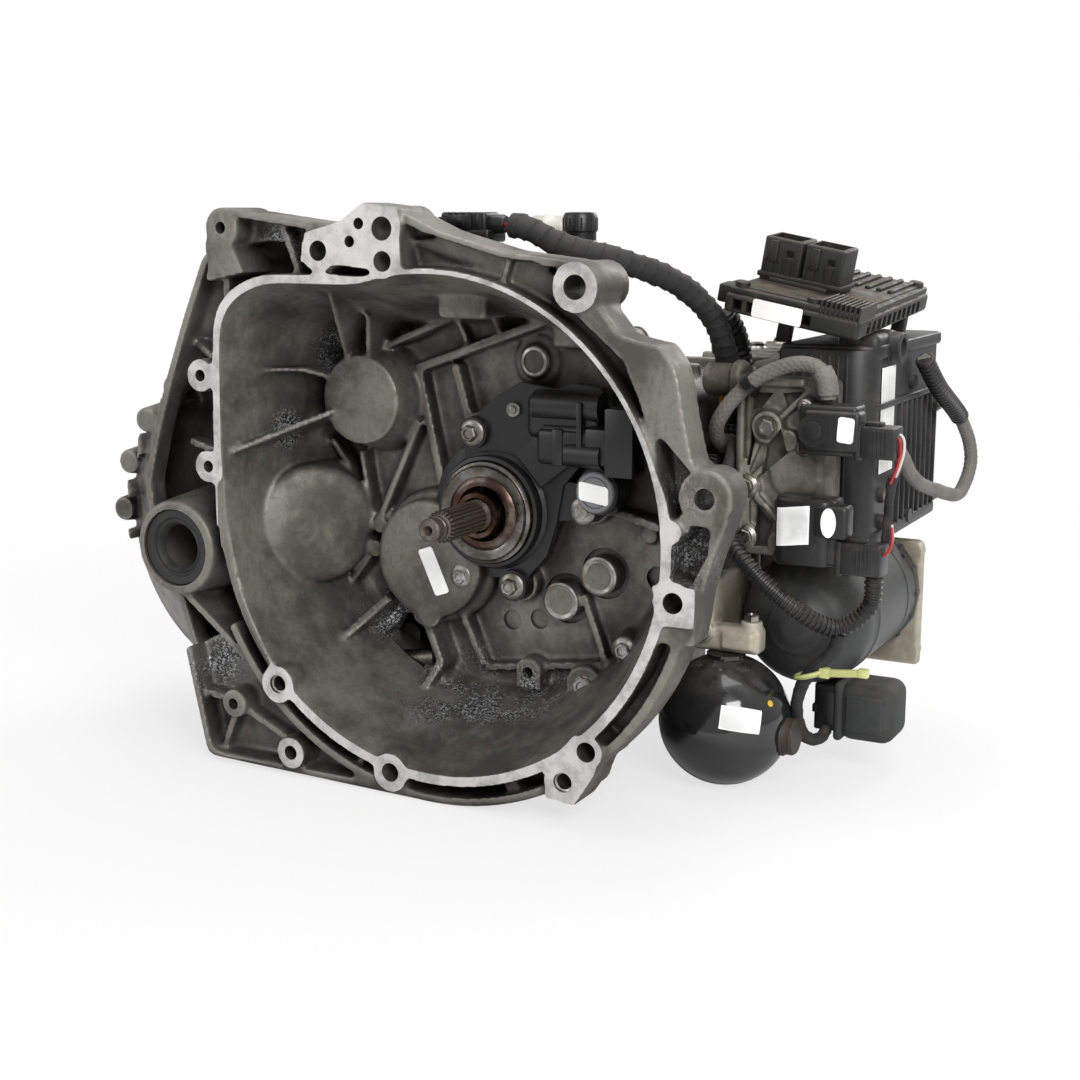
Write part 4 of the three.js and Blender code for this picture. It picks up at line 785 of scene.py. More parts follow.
connector_frame = cut(
    block((92, 112), (63.8, 85.6), (32, 76), 1.6, 2),
    block((94, 120), (63.8 + frame_wall, 85.6 - frame_wall), (32 + frame_wall, 66 - frame_wall)))
grooves = [turned([(37, 79 + 3 * i), (39.5, 79 + 3 * i), (39.5, 80.2 + 3 * i), (37, 80.2 + 3 * i)],
                  sides=96, loop=True)
           for i in (0, 1)]
actuator = together(cut(barrel, *grooves), connector_frame, *arm_parts)
step = actuator.modifiers.new("soft", "BEVEL")
step.width, step.segments, step.limit_method, step.angle_limit = 0.7, 2, "ANGLE", math.radians(35)
swap_mesh(actuator)
finished(actuator, "clutch_actuator_body", "casing", (black_nylon,), 35,
         ("clutch_actuator",))

dust_boot = turned([(28, 84.5), (33.6, 84.2), (34.8, 85), (34.8, 86), (33, 86.6), (34.6, 88), (33, 89.4),
                    (28, 89.4)],
                   sides=96, loop=True)
finished(dust_boot, "release_dust_boot", "casing", (black_rubber,), 40)


def hex_screw(spot, direction, across=10.0, height=6.5, washer=0.0):
    """A hexagon head with a chamfered top, on a flange if it has one."""
    along = Vector(direction).normalized()
    spot = Vector(spot)
    radius = across / math.sqrt(3)
    head = skin([round_points(spot + along * far, along, size, 6) for far, size in (
        (0, radius), (height - 0.8, radius), (height, radius - 0.9))])
    dish = turned([(across * 0.28, height - 1.2), (across * 0.34, height + 0.2)], spot, along, 24)
    head = cut(head, dish)
    if washer:
        head = together(head, turned([(washer, -0.1), (washer, 1.0), (washer - 0.8, 1.6),
                                      (radius * 0.95, 2.6)], spot, along, 40))
    return head


def screw_set(name, spots, material=None):
    """Like screws as one piece of separate heads: (spot, direction, across flats, height, flange radius)."""
    heads = together(*[hex_screw(*spot) for spot in spots])
    return finished(heads, name, "casing", (material or zinc,), 30)


screw_set("actuator_screws",
          [((x, actuator_seat - 13.7, z), (0, -1, 0), 10, 7, 9) for x, z in actuator_ears[:2]]
          + [((70, 80, 6), (0, -1, 0), 10, 3, 9)])
vent_screw = together(turned([(5.2, 86), (5.2, 83.6), (4.6, 83)], (16, 0, 69), (0, 1, 0), 40),
                      turned([(2.6, 83.6), (2.6, 81.6), (1.4, 81)], (16, 0, 69), (0, 1, 0), 24))
finished(vent_screw, "actuator_vent", "casing", (zinc,), 30)
port_cap = cut(turned([(13.6, 76.5), (13.6, 73.4), (12.6, 72.4), (4, 72.2)], (81.5, 0, 20), (0, 1, 0), 64),
               turned([(10.4, 71), (10.4, 73.2), (9.6, 73.2), (9.6, 71)], (81.5, 0, 20), (0, 1, 0), 64, True))
finished(port_cap, "actuator_port_cap", "casing", (moulded(
    "grey_cap_plastic", (0.12, 0.12, 0.125, 1), 0.4, 0.2),), 35)


def sticker(name, corners, lift=0.25, rounding=2.0):
    """A blank paper sticker on its surface: four corners in order, seen from outside, with rounded ends."""
    a, b, c, d = [Vector(corner) for corner in corners]
    across, up = (b - a), (d - a)
    out = across.cross(up).normalized() * lift
    wide, high = across.length, up.length
    points = []
    for cx, cy, start in ((rounding, rounding, 180), (wide - rounding, rounding, 270),
                          (wide - rounding, high - rounding, 0), (rounding, high - rounding, 90)):
        for turn in range(0, 91, 30):
            angle = math.radians(start + turn)
            points.append((cx + rounding * math.cos(angle), cy + rounding * math.sin(angle)))
    ring = [a + across.normalized() * x + up.normalized() * y for x, y in points]
    made = skin([ring, [point + out for point in ring]])
    return finished(made, name, "casing", (paper,), 30)


sticker("port_cap_sticker", [(70.5, 72.1, 15), (91.5, 72.1, 12), (91.5, 72.1, 25), (70.5, 72.1, 27)], -0.3)
sticker("bearing_cover_sticker", [(-43, 79.6, -63), (-32, 79.6, -59), (-46, 79.6, -28), (-57, 79.6, -32)],
        -0.3)


# ---- driveshaft seals ----
# A radial lip seal with a pressed steel case moulded over in black nitrile, one at each side of the
# differential. The left one shows in the neck of the bell, and the right one closes the tube at the back.
def driveshaft_seal(name, node_name, front, way):
    seal = turned([
        (15.2, way * 7), (16.4, way * 2.6), (17.6, way * 1.2), (18.6, way * 2.2), (20, way * 2.2),
        (21, way * 0.6), (26, 0), (26.6, way * 0.8), (26.6, way * 9.6), (22, way * 9.6), (22, way * 4.6),
        (16.4, way * 8)],
        (final_x, front, final_z), (0, 1, 0), 96, True)
    finished(seal, name, "casing", (black_rubber,), 35, (node_name,))


pod_end = 199.3
driveshaft_seal("driveshaft_seal_left", "driveshaft_seal_front", 2.5, 1)
driveshaft_seal("driveshaft_seal_right", "driveshaft_seal_rear", pod_end - 0.4, -1)


# ---- gear case and end cover ----
# Two sand-skinned aluminium castings screwed on behind the bell: the case round the gears, with the round
# pod of the differential and two feet, and the cover over fifth and sixth gear.
# Its third colour is the painted shade in the castings' corners and recesses.
case_alloy = cast_alloy("case_alloy", (0.25, 0.238, 0.213, 1), (0.13, 0.122, 0.105, 1),
                        (0.03, 0.025, 0.018, 1), 0.8)
cover_corners = [(60, 50), (0, 66), (-50, 50), (-110, 5), (-122, -50), (-108, -90), (-60, -108), (36, -122),
                 (56, -108)]
case_front, case_back, case_inside, cover_back, cover_inside = 112.3, 312.3, 300.3, 389.3, 382.3
pod_back, pod_inside, rear_tube, rear_seat = 158.3, 117.8, 49, 42


def grown(corners, grow):
    """Moves each corner of an outline away from the outline's middle."""
    made = []
    for x, z in corners:
        dx, dz = x - outline_middle[0], z - outline_middle[1]
        scale = 1 + grow / math.hypot(dx, dz)
        made.append((outline_middle[0] + dx * scale, outline_middle[1] + dz * scale))
    return made


def rim_fins(corners, front, back, height, every):
    """Upright ribs round an outline, from its front flange to its back one."""
    made = []
    for (ax, az), (bx, bz) in zip(corners, corners[1:] + corners[:1]):
        length = math.hypot(bx - ax, bz - az)
        out_x, out_z = (az - bz) / length, (bx - ax) / length
        if (ax - outline_middle[0]) * out_x + (az - outline_middle[1]) * out_z < 0:
            out_x, out_z = -out_x, -out_z
        for i in range(1, int(length / every) + 1):
            share = i / (int(length / every) + 1)
            x, z = ax + (bx - ax) * share, az + (bz - az) * share
            across_x, across_z = (bx - ax) / length * 2, (bz - az) / length * 2
            made.append(plate([
                (x + across_x * side + out_x * up, z + across_z * side + out_z * up)
                for side, up in ((-1, -4), (1, -4), (0.7, height), (-0.7, height))], front, back))
    return made


def flange_spots(reach_or_corners, count, inset):
    """Evenly turned places on an outline, a little inside its edge."""
    reach = reach_or_corners if isinstance(reach_or_corners, np.ndarray) else corner_reach(reach_or_corners)
    spots = []
    for i in range(count):
        degree = (i * 360 // count + 11) % outline_steps
        turn = math.radians(degree)
        spots.append((outline_middle[0] + (reach[degree] - inset) * math.cos(turn),
                      outline_middle[1] + (reach[degree] - inset) * math.sin(turn)))
    return spots


case_outside = grown(case_corners, 7)
flange_screws = flange_spots(joint_edge, 18, 5)
feet_x, foot_y = ((-75, -41), (45, 79)), (252.3, 292.3)
case_parts = [
    shell((case_front, joint_edge), (case_front + 12, joint_edge)),
    plate(case_outside, case_front + 4, case_back), plate(grown(case_corners, 12), case_back - 10, case_back),
    drum(final_x, final_z, 124.8, case_front + 2, pod_back, sides=128),
    drum(final_x, final_z, 124, pod_back - 1, pod_back + 22, rear_tube, sides=128),
    drum(final_x, final_z, rear_tube, pod_back, pod_end, sides=96),
    *[block((x[0] + 4, x[1] - 4), (foot_y[0] + 4, foot_y[1] - 4), (foot_height, -100), 3) for x in feet_x],
    *[block(x, foot_y, (foot_height - 2, foot_height + 9), 2) for x in feet_x],
    *[fin((x, foot_y[1] + 12, -120), (x, foot_y[1] - 2, -172), 6, foot_y[1] - 6) for x in (-58, 62)],
    *[fin((x, foot_y[0] - 34, -118), (x, foot_y[0] + 4, -176), 7, foot_y[0] + 6) for x in (-58, 62)],
    *[block((60, 100), (y, y + 6), (70, 94), 1.5) for y in (150, 200, 250, 300)],
    *rim_fins(case_outside, case_front + 10, case_back - 4, 5, 34),
    *[drum(x, z, 10.5, case_front + 1, case_front + 22, 8) for x, z in flange_screws],
]
for degree in range(20, 340, 40):
    turn = math.radians(degree + 30)
    case_parts.append(skin([[
        (final_x + r * math.cos(turn) - s * math.sin(turn), y,
         final_z + r * math.sin(turn) + s * math.cos(turn))
        for r, y, s in ((40, y0, -2.5), (40, y0, 2.5), (out, y1, 2.5), (out, y1, -2.5))] for y0, y1, out in (
            (pod_back - 8, pod_back - 8, 118), (pod_end - 6, pod_back + 4, 116))]))
gear_case = cast(case_parts, 2.2, 4)
cut(gear_case,
    plate(case_corners, case_front - 6, case_inside),
    drum(final_x, final_z, pod_inside, case_front - 6, pod_back - 7, sides=96),
    drum(final_x, final_z, pod_inside, pod_back - 7.2, pod_back + 18, rear_seat, sides=96),
    drum(final_x, final_z, rear_seat, pod_back, 192.6, sides=96),
    drum(final_x, final_z, 27, pod_back, pod_end + 9, sides=96),
    drum(0, 0, 28, case_inside - 1, case_back + 5),
    drum(output_x, output_z, 34, case_inside - 1, case_back + 5),
    drum(34, -104, 7.4, case_inside - 1, case_back + 5),
    block((-beyond, beyond), (80, case_front), (-beyond, beyond)),
    block((-150, 130), (case_back, 330), (-150, 110)),
    block((-beyond, beyond), (80, 400), (-220, foot_height)), block((111.2, 170), (125, 320), (-132, 103)))
finished(gear_case, "gear_case_casting", "casing", (case_alloy,), 35, ("gear_case",))

cover_outside = grown(cover_corners, 7)
cover_reach = corner_reach(grown(cover_corners, 16))
cover_screws = []
for x, z in flange_spots(grown(case_corners, 11), 14, 8):
    away = Vector((x - outline_middle[0], z - outline_middle[1]))
    if away.length > cover_reach[round(math.degrees(math.atan2(away.y, away.x))) % outline_steps]:
        cover_screws.append((x, z))
cover_parts = [
    plate(grown(case_corners, 11), case_back + 0.3, case_back + 10.3),
    plate(cover_outside, case_back + 3, cover_back - 5),
    plate(grown(cover_corners, 2), cover_back - 6, cover_back - 3),
    *rim_fins(cover_outside, case_back + 4, cover_back - 8, 4, 30),
    *[drum(x, z, 10, case_back + 2, case_back + 18, 8) for x, z in cover_screws],
    drum(0, 0, 34, cover_back - 6, cover_back + 2, 32),
    drum(output_x, output_z, 40, cover_back - 6, cover_back + 2, 38),
    *[fin((a, cover_back + 3, b), (c, cover_back + 3, d), 5, cover_back - 8) for a, b, c, d in (
        (0, 58, 0, -104), (-112, -46, 54, -46), (-96, 8, 34, -112), (30, 50, -30, -104),
        (-60, 40, -60, -98))],
    drum(-60, 8, 9, cover_back - 6, cover_back + 3, 10), drum(30, -70, 9, cover_back - 6, cover_back + 3, 10),
]
end_cover = cast(cover_parts, 2.0, 4)
cut(end_cover, plate(cover_corners, case_back - 5, cover_inside),
    block((-beyond, beyond), (290, case_back + 0.3), (-beyond, beyond)))
finished(end_cover, "end_cover_casting", "casing", (case_alloy,), 35, ("end_cover",))
screw_set("case_flange_screws", [((x, case_front + 21, z), (0, 1, 0), 12, 7, 9) for x, z in flange_screws
                                 if not (x > 88 and -130 < z < 100)])
screw_set("cover_flange_screws", [((x, case_back + 17, z), (0, 1, 0), 11, 6.5, 8.5) for x, z in cover_screws])
drain_plugs = together(hex_screw((-100, 210, -116), (-0.35, 0, -1), 17, 8, 13),
                       hex_screw((-148, 240, -22), (-1, 0, 0.3), 17, 8, 13))
finished(drain_plugs, "oil_plugs", "casing", (zinc,), 30)


# ---- shift unit: cast housing and plastic module ----
# The cast housing bolts to the side of the gear case and carries the sensors. The module that clips onto it
# is glass-filled nylon, ribbed outside, with a round boss at its top and a label round its front corner.
# Its third colour is the painted shade in the housing's corners and recesses.
unit_alloy = cast_alloy("unit_alloy", (0.32, 0.3, 0.26, 1), (0.1, 0.09, 0.07, 1), (0.02, 0.016, 0.011, 1),
                        0.9)
lobe_front, module_front = 148, 170
lobe_x, lobe_z = (150, 215), (-27, 92)
housing_parts = [
    block((112.2, 168), (215, 320), (-20, 100), 4), block((150, 168), (168, 217), (-20, 100), 3),
    block(lobe_x, (lobe_front, 169.7), lobe_z, 5),
    rod((152, 158, 88), (124, 158, 88), 11), rod((126, 158, 88), (122.5, 158, 88), 8.5, 8),
    rod((150, 158, 88), (144, 158, 88), 13.5), drum(172, 60, 10.5, lobe_front - 8, lobe_front + 2, 12.5),
    *[drum(x, z, radius, lobe_front - lift, lobe_front + 3) for x, z, radius, lift in (
        (158, 20, 9, 3), (158, -14, 9, 3), (206, 84, 8, 3), (190, 30, 17, 2))],
    *[fin((a, lobe_front - lift, b), (c, lobe_front - 3, d), 4, lobe_front + 6) for a, b, c, d, lift in (
        (154, 80, 154, 30, 5), (162, 26, 186, 50, 5), (166, 52, 156, 28, 5), (180, 66, 200, 86, 5),
        (164, 14, 182, -4, 4), (158, 12, 158, -10, 4))],
    drum(186, 52, 7, lobe_front - 6, lobe_front + 3), drum(182, -16, 8, lobe_front - 6, lobe_front + 3),
    block((150, 156), (lobe_front - 6, 160), (-24, 90), 2),
    block((158, 196), (lobe_front - 4, 156), (86, 92), 2),
    *[block((110.8, 150), (y, y + 6), (96, 103), 1) for y in (225, 250, 275, 300)],
    *[block((118, 150), (y, y + 5), (-23, -16), 1) for y in (235, 265, 295)],
    *[rod((128, y, 92), (128, y, 103), 8.5, 7.5) for y in (238, 288)],
]
housing = cast(housing_parts, 1.3, 4, 0.5)
cut(housing, *[plate(pocket, lobe_front - 8, lobe_front + deep) for deep, *pocket in (
        (7, (160, 82), (174, 82), (166, 72), (160, 70)), (7, (160, 66), (164, 54), (160, 34), (158, 34)),
        (6, (170, 46), (182, 60), (186, 44), (168, 28)), (7, (164, 8), (176, -4), (172, -20), (164, -20)),
        (6, (180, 82), (194, 84), (184, 72)))],
    block((80, 112.0), (200, 330), (-60, 130)), drum(172, 60, 8, lobe_front - 10, lobe_front - 6.5),
    rod((118, 158, 88), (125, 158, 88), 5.5))
finished(housing, "shift_unit_housing", "casing", (unit_alloy,), 35, ("actuator_housing",))
screw_set("shift_unit_screws", [
    ((172, lobe_front - 7, 60), (0, -1, 0), 10, 3, 0), ((158, lobe_front - 3, 20), (0, -1, 0), 10, 5, 8),
    ((158, lobe_front - 3, -14), (0, -1, 0), 10, 5, 8), ((128, 238, 102), (0, 0, 1), 10, 5, 7.5),
    ((128, 288, 102), (0, 0, 1), 10, 5, 7.5)])

module_grey = moulded("module_nylon", (0.015, 0.015, 0.016, 1), 0.45, 0.35, (0.17, 0.155, 0.13, 1))


def pillar(outline, bottom, top, edge=2.0):
    """An upright block with an outline of [x, y] corners and softened ends."""
    middle = Vector((sum(x for x, _ in outline) / len(outline), sum(y for _, y in outline) / len(outline)))
    rings = []
    for height, share in ((bottom, edge), (bottom + 0.3 * edge, 0.3 * edge), (bottom + edge, 0),
                          (top - edge, 0), (top - 0.3 * edge, 0.3 * edge), (top, edge)):
        ring = []
        for x, y in outline:
            away = Vector((x, y)) - middle
            spot = middle + away * (1 - share / away.length)
            ring.append((spot.x, spot.y, height))
        rings.append(ring)
    return skin(rings)


def rounded_outline(x, y, radii, steps=6):
    """[x, y] corners of a rectangle with four rounded corners, from the low-low one anticlockwise."""
    points = []
    for (cx, cy, sx, sy, start), radius in zip((
            (x[0], y[0], 1, 1, 180), (x[1], y[0], -1, 1, 270), (x[1], y[1], -1, -1, 0),
            (x[0], y[1], 1, -1, 90)), radii):
        for i in range(steps + 1):
            turn = math.radians(start + 90 * i / steps)
            points.append((cx + sx * radius + radius * math.cos(turn),
                           cy + sy * radius + radius * math.sin(turn)))
    return points


module_corner = 17
module_radii = (3, module_corner, 12, 6)
module_parts = [
    pillar(rounded_outline((168.3, 232.6), (module_front, 337.6), module_radii, 10), -18, 110, 3),
    *[pillar(rounded_outline((168.3, 235), (module_front + 4, 340), module_radii, 10), low, high, edge)
      for low, high, edge in ((70, 74, 1), (104, 112, 2), (-20, -12, 2))],
    *[block((178 + 6 * i, 180.5 + 6 * i), (module_front - 1.2, module_front + 4), (-12, 106), 0.6)
      for i in range(7)],
    *[block((226, 235), (234 + 13 * i, 236.5 + 13 * i), (-14, 70), 0.6) for i in range(8)],
    *[block((176 + 14 * i, 178.5 + 14 * i), (332, 340), (-12, 106), 0.6) for i in range(4)],
    turned([(12, 0), (11.6, 6), (10.6, 7), (10.2, 13.5), (9.4, 14.5)], (226, 212, 109), (1, 0, 0), 64),
    block((204, 233), (180, 232), (100, 119.4), 5, 4),
    *[rod((229, y, z), (236, y, z), 5.5, 5)
      for y, z in ((196, 12), (196, -6), (326, 60), (326, -6), (262, 82), (262, -12))],
]
module_body = cut(together(*module_parts), turned([(6.5, 0), (7, 6)], (237.4, 212, 109), (1, 0, 0), 48))
finished(module_body, "shift_unit_module", "casing", (module_grey,), 32, ("actuator_module",))
screw_set("module_screws",
          [((235.6, y, z), (1, 0, 0), 6.5, 3, 4.6) for y, z in ((196, 12), (196, -6), (326, 60), (326, -6))])


def laid_on(name, surface, wide, high, lift=0.3):
    """A blank sticker that follows surface(u, v, lift), which gives its points for u and v from 0 to 1."""
    rim = [(i / wide, 0) for i in range(wide)] + [(1, i / high) for i in range(high)]
    rim += [(1 - i / wide, 1) for i in range(wide)] + [(0, 1 - i / high) for i in range(high)]
    bm = bmesh.new()
    sides = []
    for height in (0, lift):
        sides.append([[bm.verts.new(surface(i / wide, j / high, height)) for i in range(wide + 1)]
                      for j in range(high + 1)])
    for grid in sides:
        for j in range(high):
            for i in range(wide):
                bm.faces.new((grid[j][i], grid[j][i + 1], grid[j + 1][i + 1], grid[j + 1][i]))
    spots = [(round(u * wide), round(v * high)) for u, v in rim]
    for (i, j), (k, l) in zip(spots, spots[1:] + spots[:1]):
        bm.faces.new((sides[0][j][i], sides[0][l][k], sides[1][l][k], sides[1][j][i]))
    bmesh.ops.recalc_face_normals(bm, faces=bm.faces)
    return finished(blank(bm), name, "casing", (paper,), 50)


module_side, label_start, label_wide, label_top, label_high = 232.8, 29, 30, 97, 70


def round_module_corner(u, v, lift):
    """Round the module's front right corner, from its front face on to its side."""
    centre_x, centre_y = module_side - module_corner, module_front + module_corner
    reach, height = module_corner + 0.3 + lift, label_top - label_high * v
    turn = math.radians(270) + (label_start + u * label_wide) / module_corner
    if turn < 2 * math.pi:
        return centre_x + reach * math.cos(turn), centre_y + reach * math.sin(turn), height
    return centre_x + reach, centre_y + (turn - 2 * math.pi) * module_corner, height


laid_on("module_label", round_module_corner, 24, 6, 0.5)


# ---- control unit ----
# An electronics box on four legs, tilted forwards and brown with road dust. Its cover has cooling fins, its
# tray has open pockets round its sides, and two tall connector shrouds stand on it.
tilt = (Matrix.Translation((186, 222, 140)) @ Matrix.Rotation(math.radians(10.8), 4, "Y")
        @ Matrix.Rotation(math.radians(4.4), 4, "X"))
dusty_black = moulded("dusty_black", (0.012, 0.0115, 0.011, 1), 0.5, 0.75, (0.12, 0.088, 0.055, 1), 1100.0,
                      0.2)


def tilted(obj):
    obj.data.transform(tilt)
    return obj


shroud_x, shroud_y, shroud_top = (-27, 2), -22, 38
unit_parts = [
    cut(block((-46, 46), (-78, 78), (-9, 4), 3, 3),
        *[block((x, x + 6.5), (-80, -66), (-7, 0.5)) for x in np.arange(-40, 14, 9.5)],
        *[block((x, x + 6.5), (66, 80), (-7, 0.5)) for x in np.arange(-40, 40, 9.5)],
        *[block((38, 50), (y, y + 7), (-7, 0.5)) for y in np.arange(-60, 60, 11)]),
    block((-44.5, 44.5), (-76.5, 76.5), (3, 8), 1.8, 3),
    block((-41, 41), (-73, 73), (7, 9), 0.8),
    *[block((18 + 3.2 * i, 19.6 + 3.2 * i), (-77.5, -44), (-3, 12.5), 0.5, 1) for i in range(9)],
    *[block((-38 + 8 * i, -34.5 + 8 * i), (12, 66), (8, 11.5), 0.8, 1) for i in range(10)],
    *[block((x, x + 9), (y, y + 9), (-28, 0), 1)
      for x, y in ((-18.5, -44.5), (29.5, -44.5), (-18.5, 55.5), (29.5, 55.5))],
    block((-56, -44), (-66, -50), (-6, 6), 1.5), block((-56, -44), (-46, -36), (-5, 5), 1.2),
    block((-33, 8), (-38, -4), (8, 12), 1.2),
    *[turned([(5, 8), (5, 11), (4, 11.6)], (x, y, 0), (0, 0, 1), 32)
      for x, y in ((-38, -70), (38, 68), (-38, 68), (12, -70))],
]
for x in shroud_x:
    unit_parts.append(cut(
        block((x - 13.5, x + 13.5), (shroud_y - 14, shroud_y + 14), (8, shroud_top), 1.6, 3),
        block((x - 10.5, x + 10.5), (shroud_y - 11, shroud_y + 11), (13, shroud_top + 5), 0.8),
        block((x + 3, x + 8), (shroud_y - 16, shroud_y - 9), (26, 31)),
        *[block((x - 11 + 6 * i, x - 8 + 6 * i), (shroud_y - 14.6, shroud_y - 13.2), (12, 24))
          for i in range(4)]))
    unit_parts.append(block((x - 15, x + 15), (shroud_y - 15, shroud_y + 15), (11, 14.5), 0.8))
    unit_parts.append(block((x - 9, x - 3), (shroud_y - 15.4, shroud_y - 13), (22, 36), 0.8))
    pins = [rod((x + px, shroud_y + py, 12), (x + px, shroud_y + py, 24), 0.9, 0.5, 8)
            for px in (-6, -2, 2, 6) for py in (-6, 0, 6)]
    finished(tilted(together(*pins)), f"shroud_pins_{'left' if x < 0 else 'right'}", "casing",
             (zinc,), 30)
unit_floor = block((100, 300), (100, 330), (90, 112.3))
finished(cut(tilted(together(*unit_parts)), unit_floor), "control_unit_box", "casing",
         (dusty_black,), 32, ("control_unit",))
unit_paper = [tilt @ Vector(corner)
              for corner in ((-26, -78.02, -8), (8, -78.02, -8), (8, -78.02, 3.6), (-26, -78.02, 3.6))]
sticker("control_unit_sticker", unit_paper, 0.3, 1.5)


# ---- shift-position sensors ----
# Two magnetic sensors in black plastic, each held to the cast housing by its own screws, with a latched
# plug for three thin wires. Both carry blank white stickers.
sensor_black = moulded("sensor_plastic", (0.011, 0.011, 0.012, 1), 0.4, 0.35)
sensor_back = 147.7


def plug(x, y, z, latch=2.5, ribs=4):
    """A cable plug: a body with grip ribs, a latch on top and a rubber grommet where the wires leave it."""
    length = x[1] - x[0]
    parts = [block(x, y, z, 1.6, 2),
             block((x[0] + 4, x[0] + 0.6 * length), ((y[0] + y[1]) / 2 - 4, (y[0] + y[1]) / 2 + 4),
                   (z[1] - 0.5, z[1] + latch), 0.8),
             block((x[0] - 0.5, x[0] + 3.5), (y[0] - 1, y[1] + 1), (z[0] - 1, z[1] + 1), 0.8)]
    for i in range(ribs):
        start = x[0] + 0.45 * length + 2.6 * i
        parts.append(block((start, start + 1.3), (y[0] - 0.7, y[1] + 0.7), (z[0] + 2, z[1] - 2), 0.3, 1))
    return parts


upper_parts = [
    block((198, 236), (127, sensor_back), (46, 78), 2.5, 3), block((202, 239), (123.7, 140), (49, 75), 3, 3),
    drum(209, 62, 10, 123.2, sensor_back, 11),
    turned([(6, 0), (6, 1.2), (4.8, 1.5)], (209, 123.6, 62), (0, -1, 0), 48),
    block((196, 204), (138, sensor_back), (66, 80), 3), block((196, 204), (138, sensor_back), (44, 56), 3),
    drum(200, 76, 5.4, 133, sensor_back), drum(200, 49, 5.4, 133, sensor_back),
    *plug((236, 261), (125.7, 145.7), (46, 66)), block((210, 218), (134, sensor_back), (76, 82), 1.5),
]
finished(together(*upper_parts), "upper_sensor_body", "casing", (sensor_black,), 32,
         ("upper_sensor",))
lower_parts = [
    pillar(rounded_outline((184, 222), (124.5, sensor_back), (7, 7, 2, 2)), -26, 17, 2.5),
    block((182, 224), (133, sensor_back), (-28, 18), 3, 3), block((210, 233), (123.9, 140), (-7, 15), 3, 3),
    drum(188, 12, 5.6, 131, sensor_back), drum(218, 12, 5.6, 131, sensor_back),
    drum(188, -22, 5.6, 131, sensor_back), block((212, 226), (127, 145), (-24, -4), 2),
    *plug((226, 255), (125.7, 145.7), (-29, -9)),
]
finished(together(*lower_parts), "lower_sensor_body", "casing", (sensor_black,), 32,
         ("lower_sensor",))
screw_set("sensor_screws", [((x, y, z), (0, -1, 0), 6, 3, 4.8) for x, y, z in (
    (200, 133.5, 76), (200, 133.5, 49), (188, 131.5, 12), (218, 131.5, 12), (188, 131.5, -22))])
sticker("upper_sensor_sticker",
        [(224.5, 123.8, 56), (235, 123.8, 55), (236, 123.8, 71), (225.5, 123.8, 72)], 0.3)


def round_lower_sensor(u, v, lift):
    """Round the left front corner of the lower sensor, then flat along its front."""
    corner_x, corner_y, corner, front = 191, 131.5, 7, math.radians(270)
    reach, turn, height = corner + 0.2 + lift, math.radians(232) + 22 * u / corner, 3 * u - 14 + 25 * v
    if turn < front:
        return corner_x + reach * math.cos(turn), corner_y + reach * math.sin(turn), height
    return corner_x + (turn - front) * corner, corner_y - reach, height


laid_on("lower_sensor_sticker", round_lower_sensor, 16, 3, 0.4)
oval = turned([(1, 0), (1, 0.5)], (0, 0, 0), (0, -1, 0), 40)
oval.data.transform(Matrix.Translation((221, 124.0, 4)) @ Matrix.Diagonal((5, 1, 9.5, 1)))
finished(oval, "lower_sensor_patch", "casing", (paper,), 30)


# ---- hydraulic block, pump motor and flange plate ----
# The block is machined from die-cast aluminium that has gone beige with dirt. The pump's motor is a drawn
# steel can painted grey, crimped to a cast flange plate at its back.
# Its third colour is the painted shade in the block's and flange plate's corners and recesses.
beige_alloy = cast_alloy("beige_alloy", (0.52, 0.48, 0.39, 1), (0.3, 0.26, 0.19, 1),
                         (0.07, 0.052, 0.033, 1), 0.85, (), 0.25)
can_paint = moulded("can_paint", (0.034, 0.036, 0.036, 1), 0.45, 0.6, (0.15, 0.138, 0.112, 1), 500.0, 0.15)
pump_x, pump_z, pump_back = 190, -74, 296

block_parts = [
    block((112.0, 143.4), (126, 200), (-90, -42), 3), block((126, 176), (126, 142), (-89.7, -72), 3),
    drum(124, -56, 9, 123.5, 130), drum(136, -76, 8, 123.5, 130), drum(120, -80, 7, 124, 130),
    rod((128, 150, -44), (128, 150, -38), 7), rod((128, 182, -44), (128, 182, -38), 7),
    block((150, 172), (124, 128), (-87, -75), 1.5), rod((168, 134, -74), (168, 134, -68), 8, 7),
]
finished(cut(cast(block_parts, 1.1, 3, 0.5), drum(124, -56, 4.5, 120, 126),
             block((100, 111.5), (100, 220), (-110, -20)), block((100, 190), (100, 220), (-110, -90))),
         "hydraulic_block_body", "casing", (beige_alloy,), 35, ("hydraulic_block",))
screw_set("hydraulic_screws", [
    ((136, 124, -76), (0, -1, 0), 9, 5, 7), ((120, 124.4, -80), (0, -1, 0), 7, 4, 0),
    ((168, 134, -68.5), (0, 0, 1), 9, 5, 0), ((128, 150, -38.5), (0, 0, 1), 9, 5, 0),
    ((128, 182, -38.5), (0, 0, 1), 9, 5, 0)])

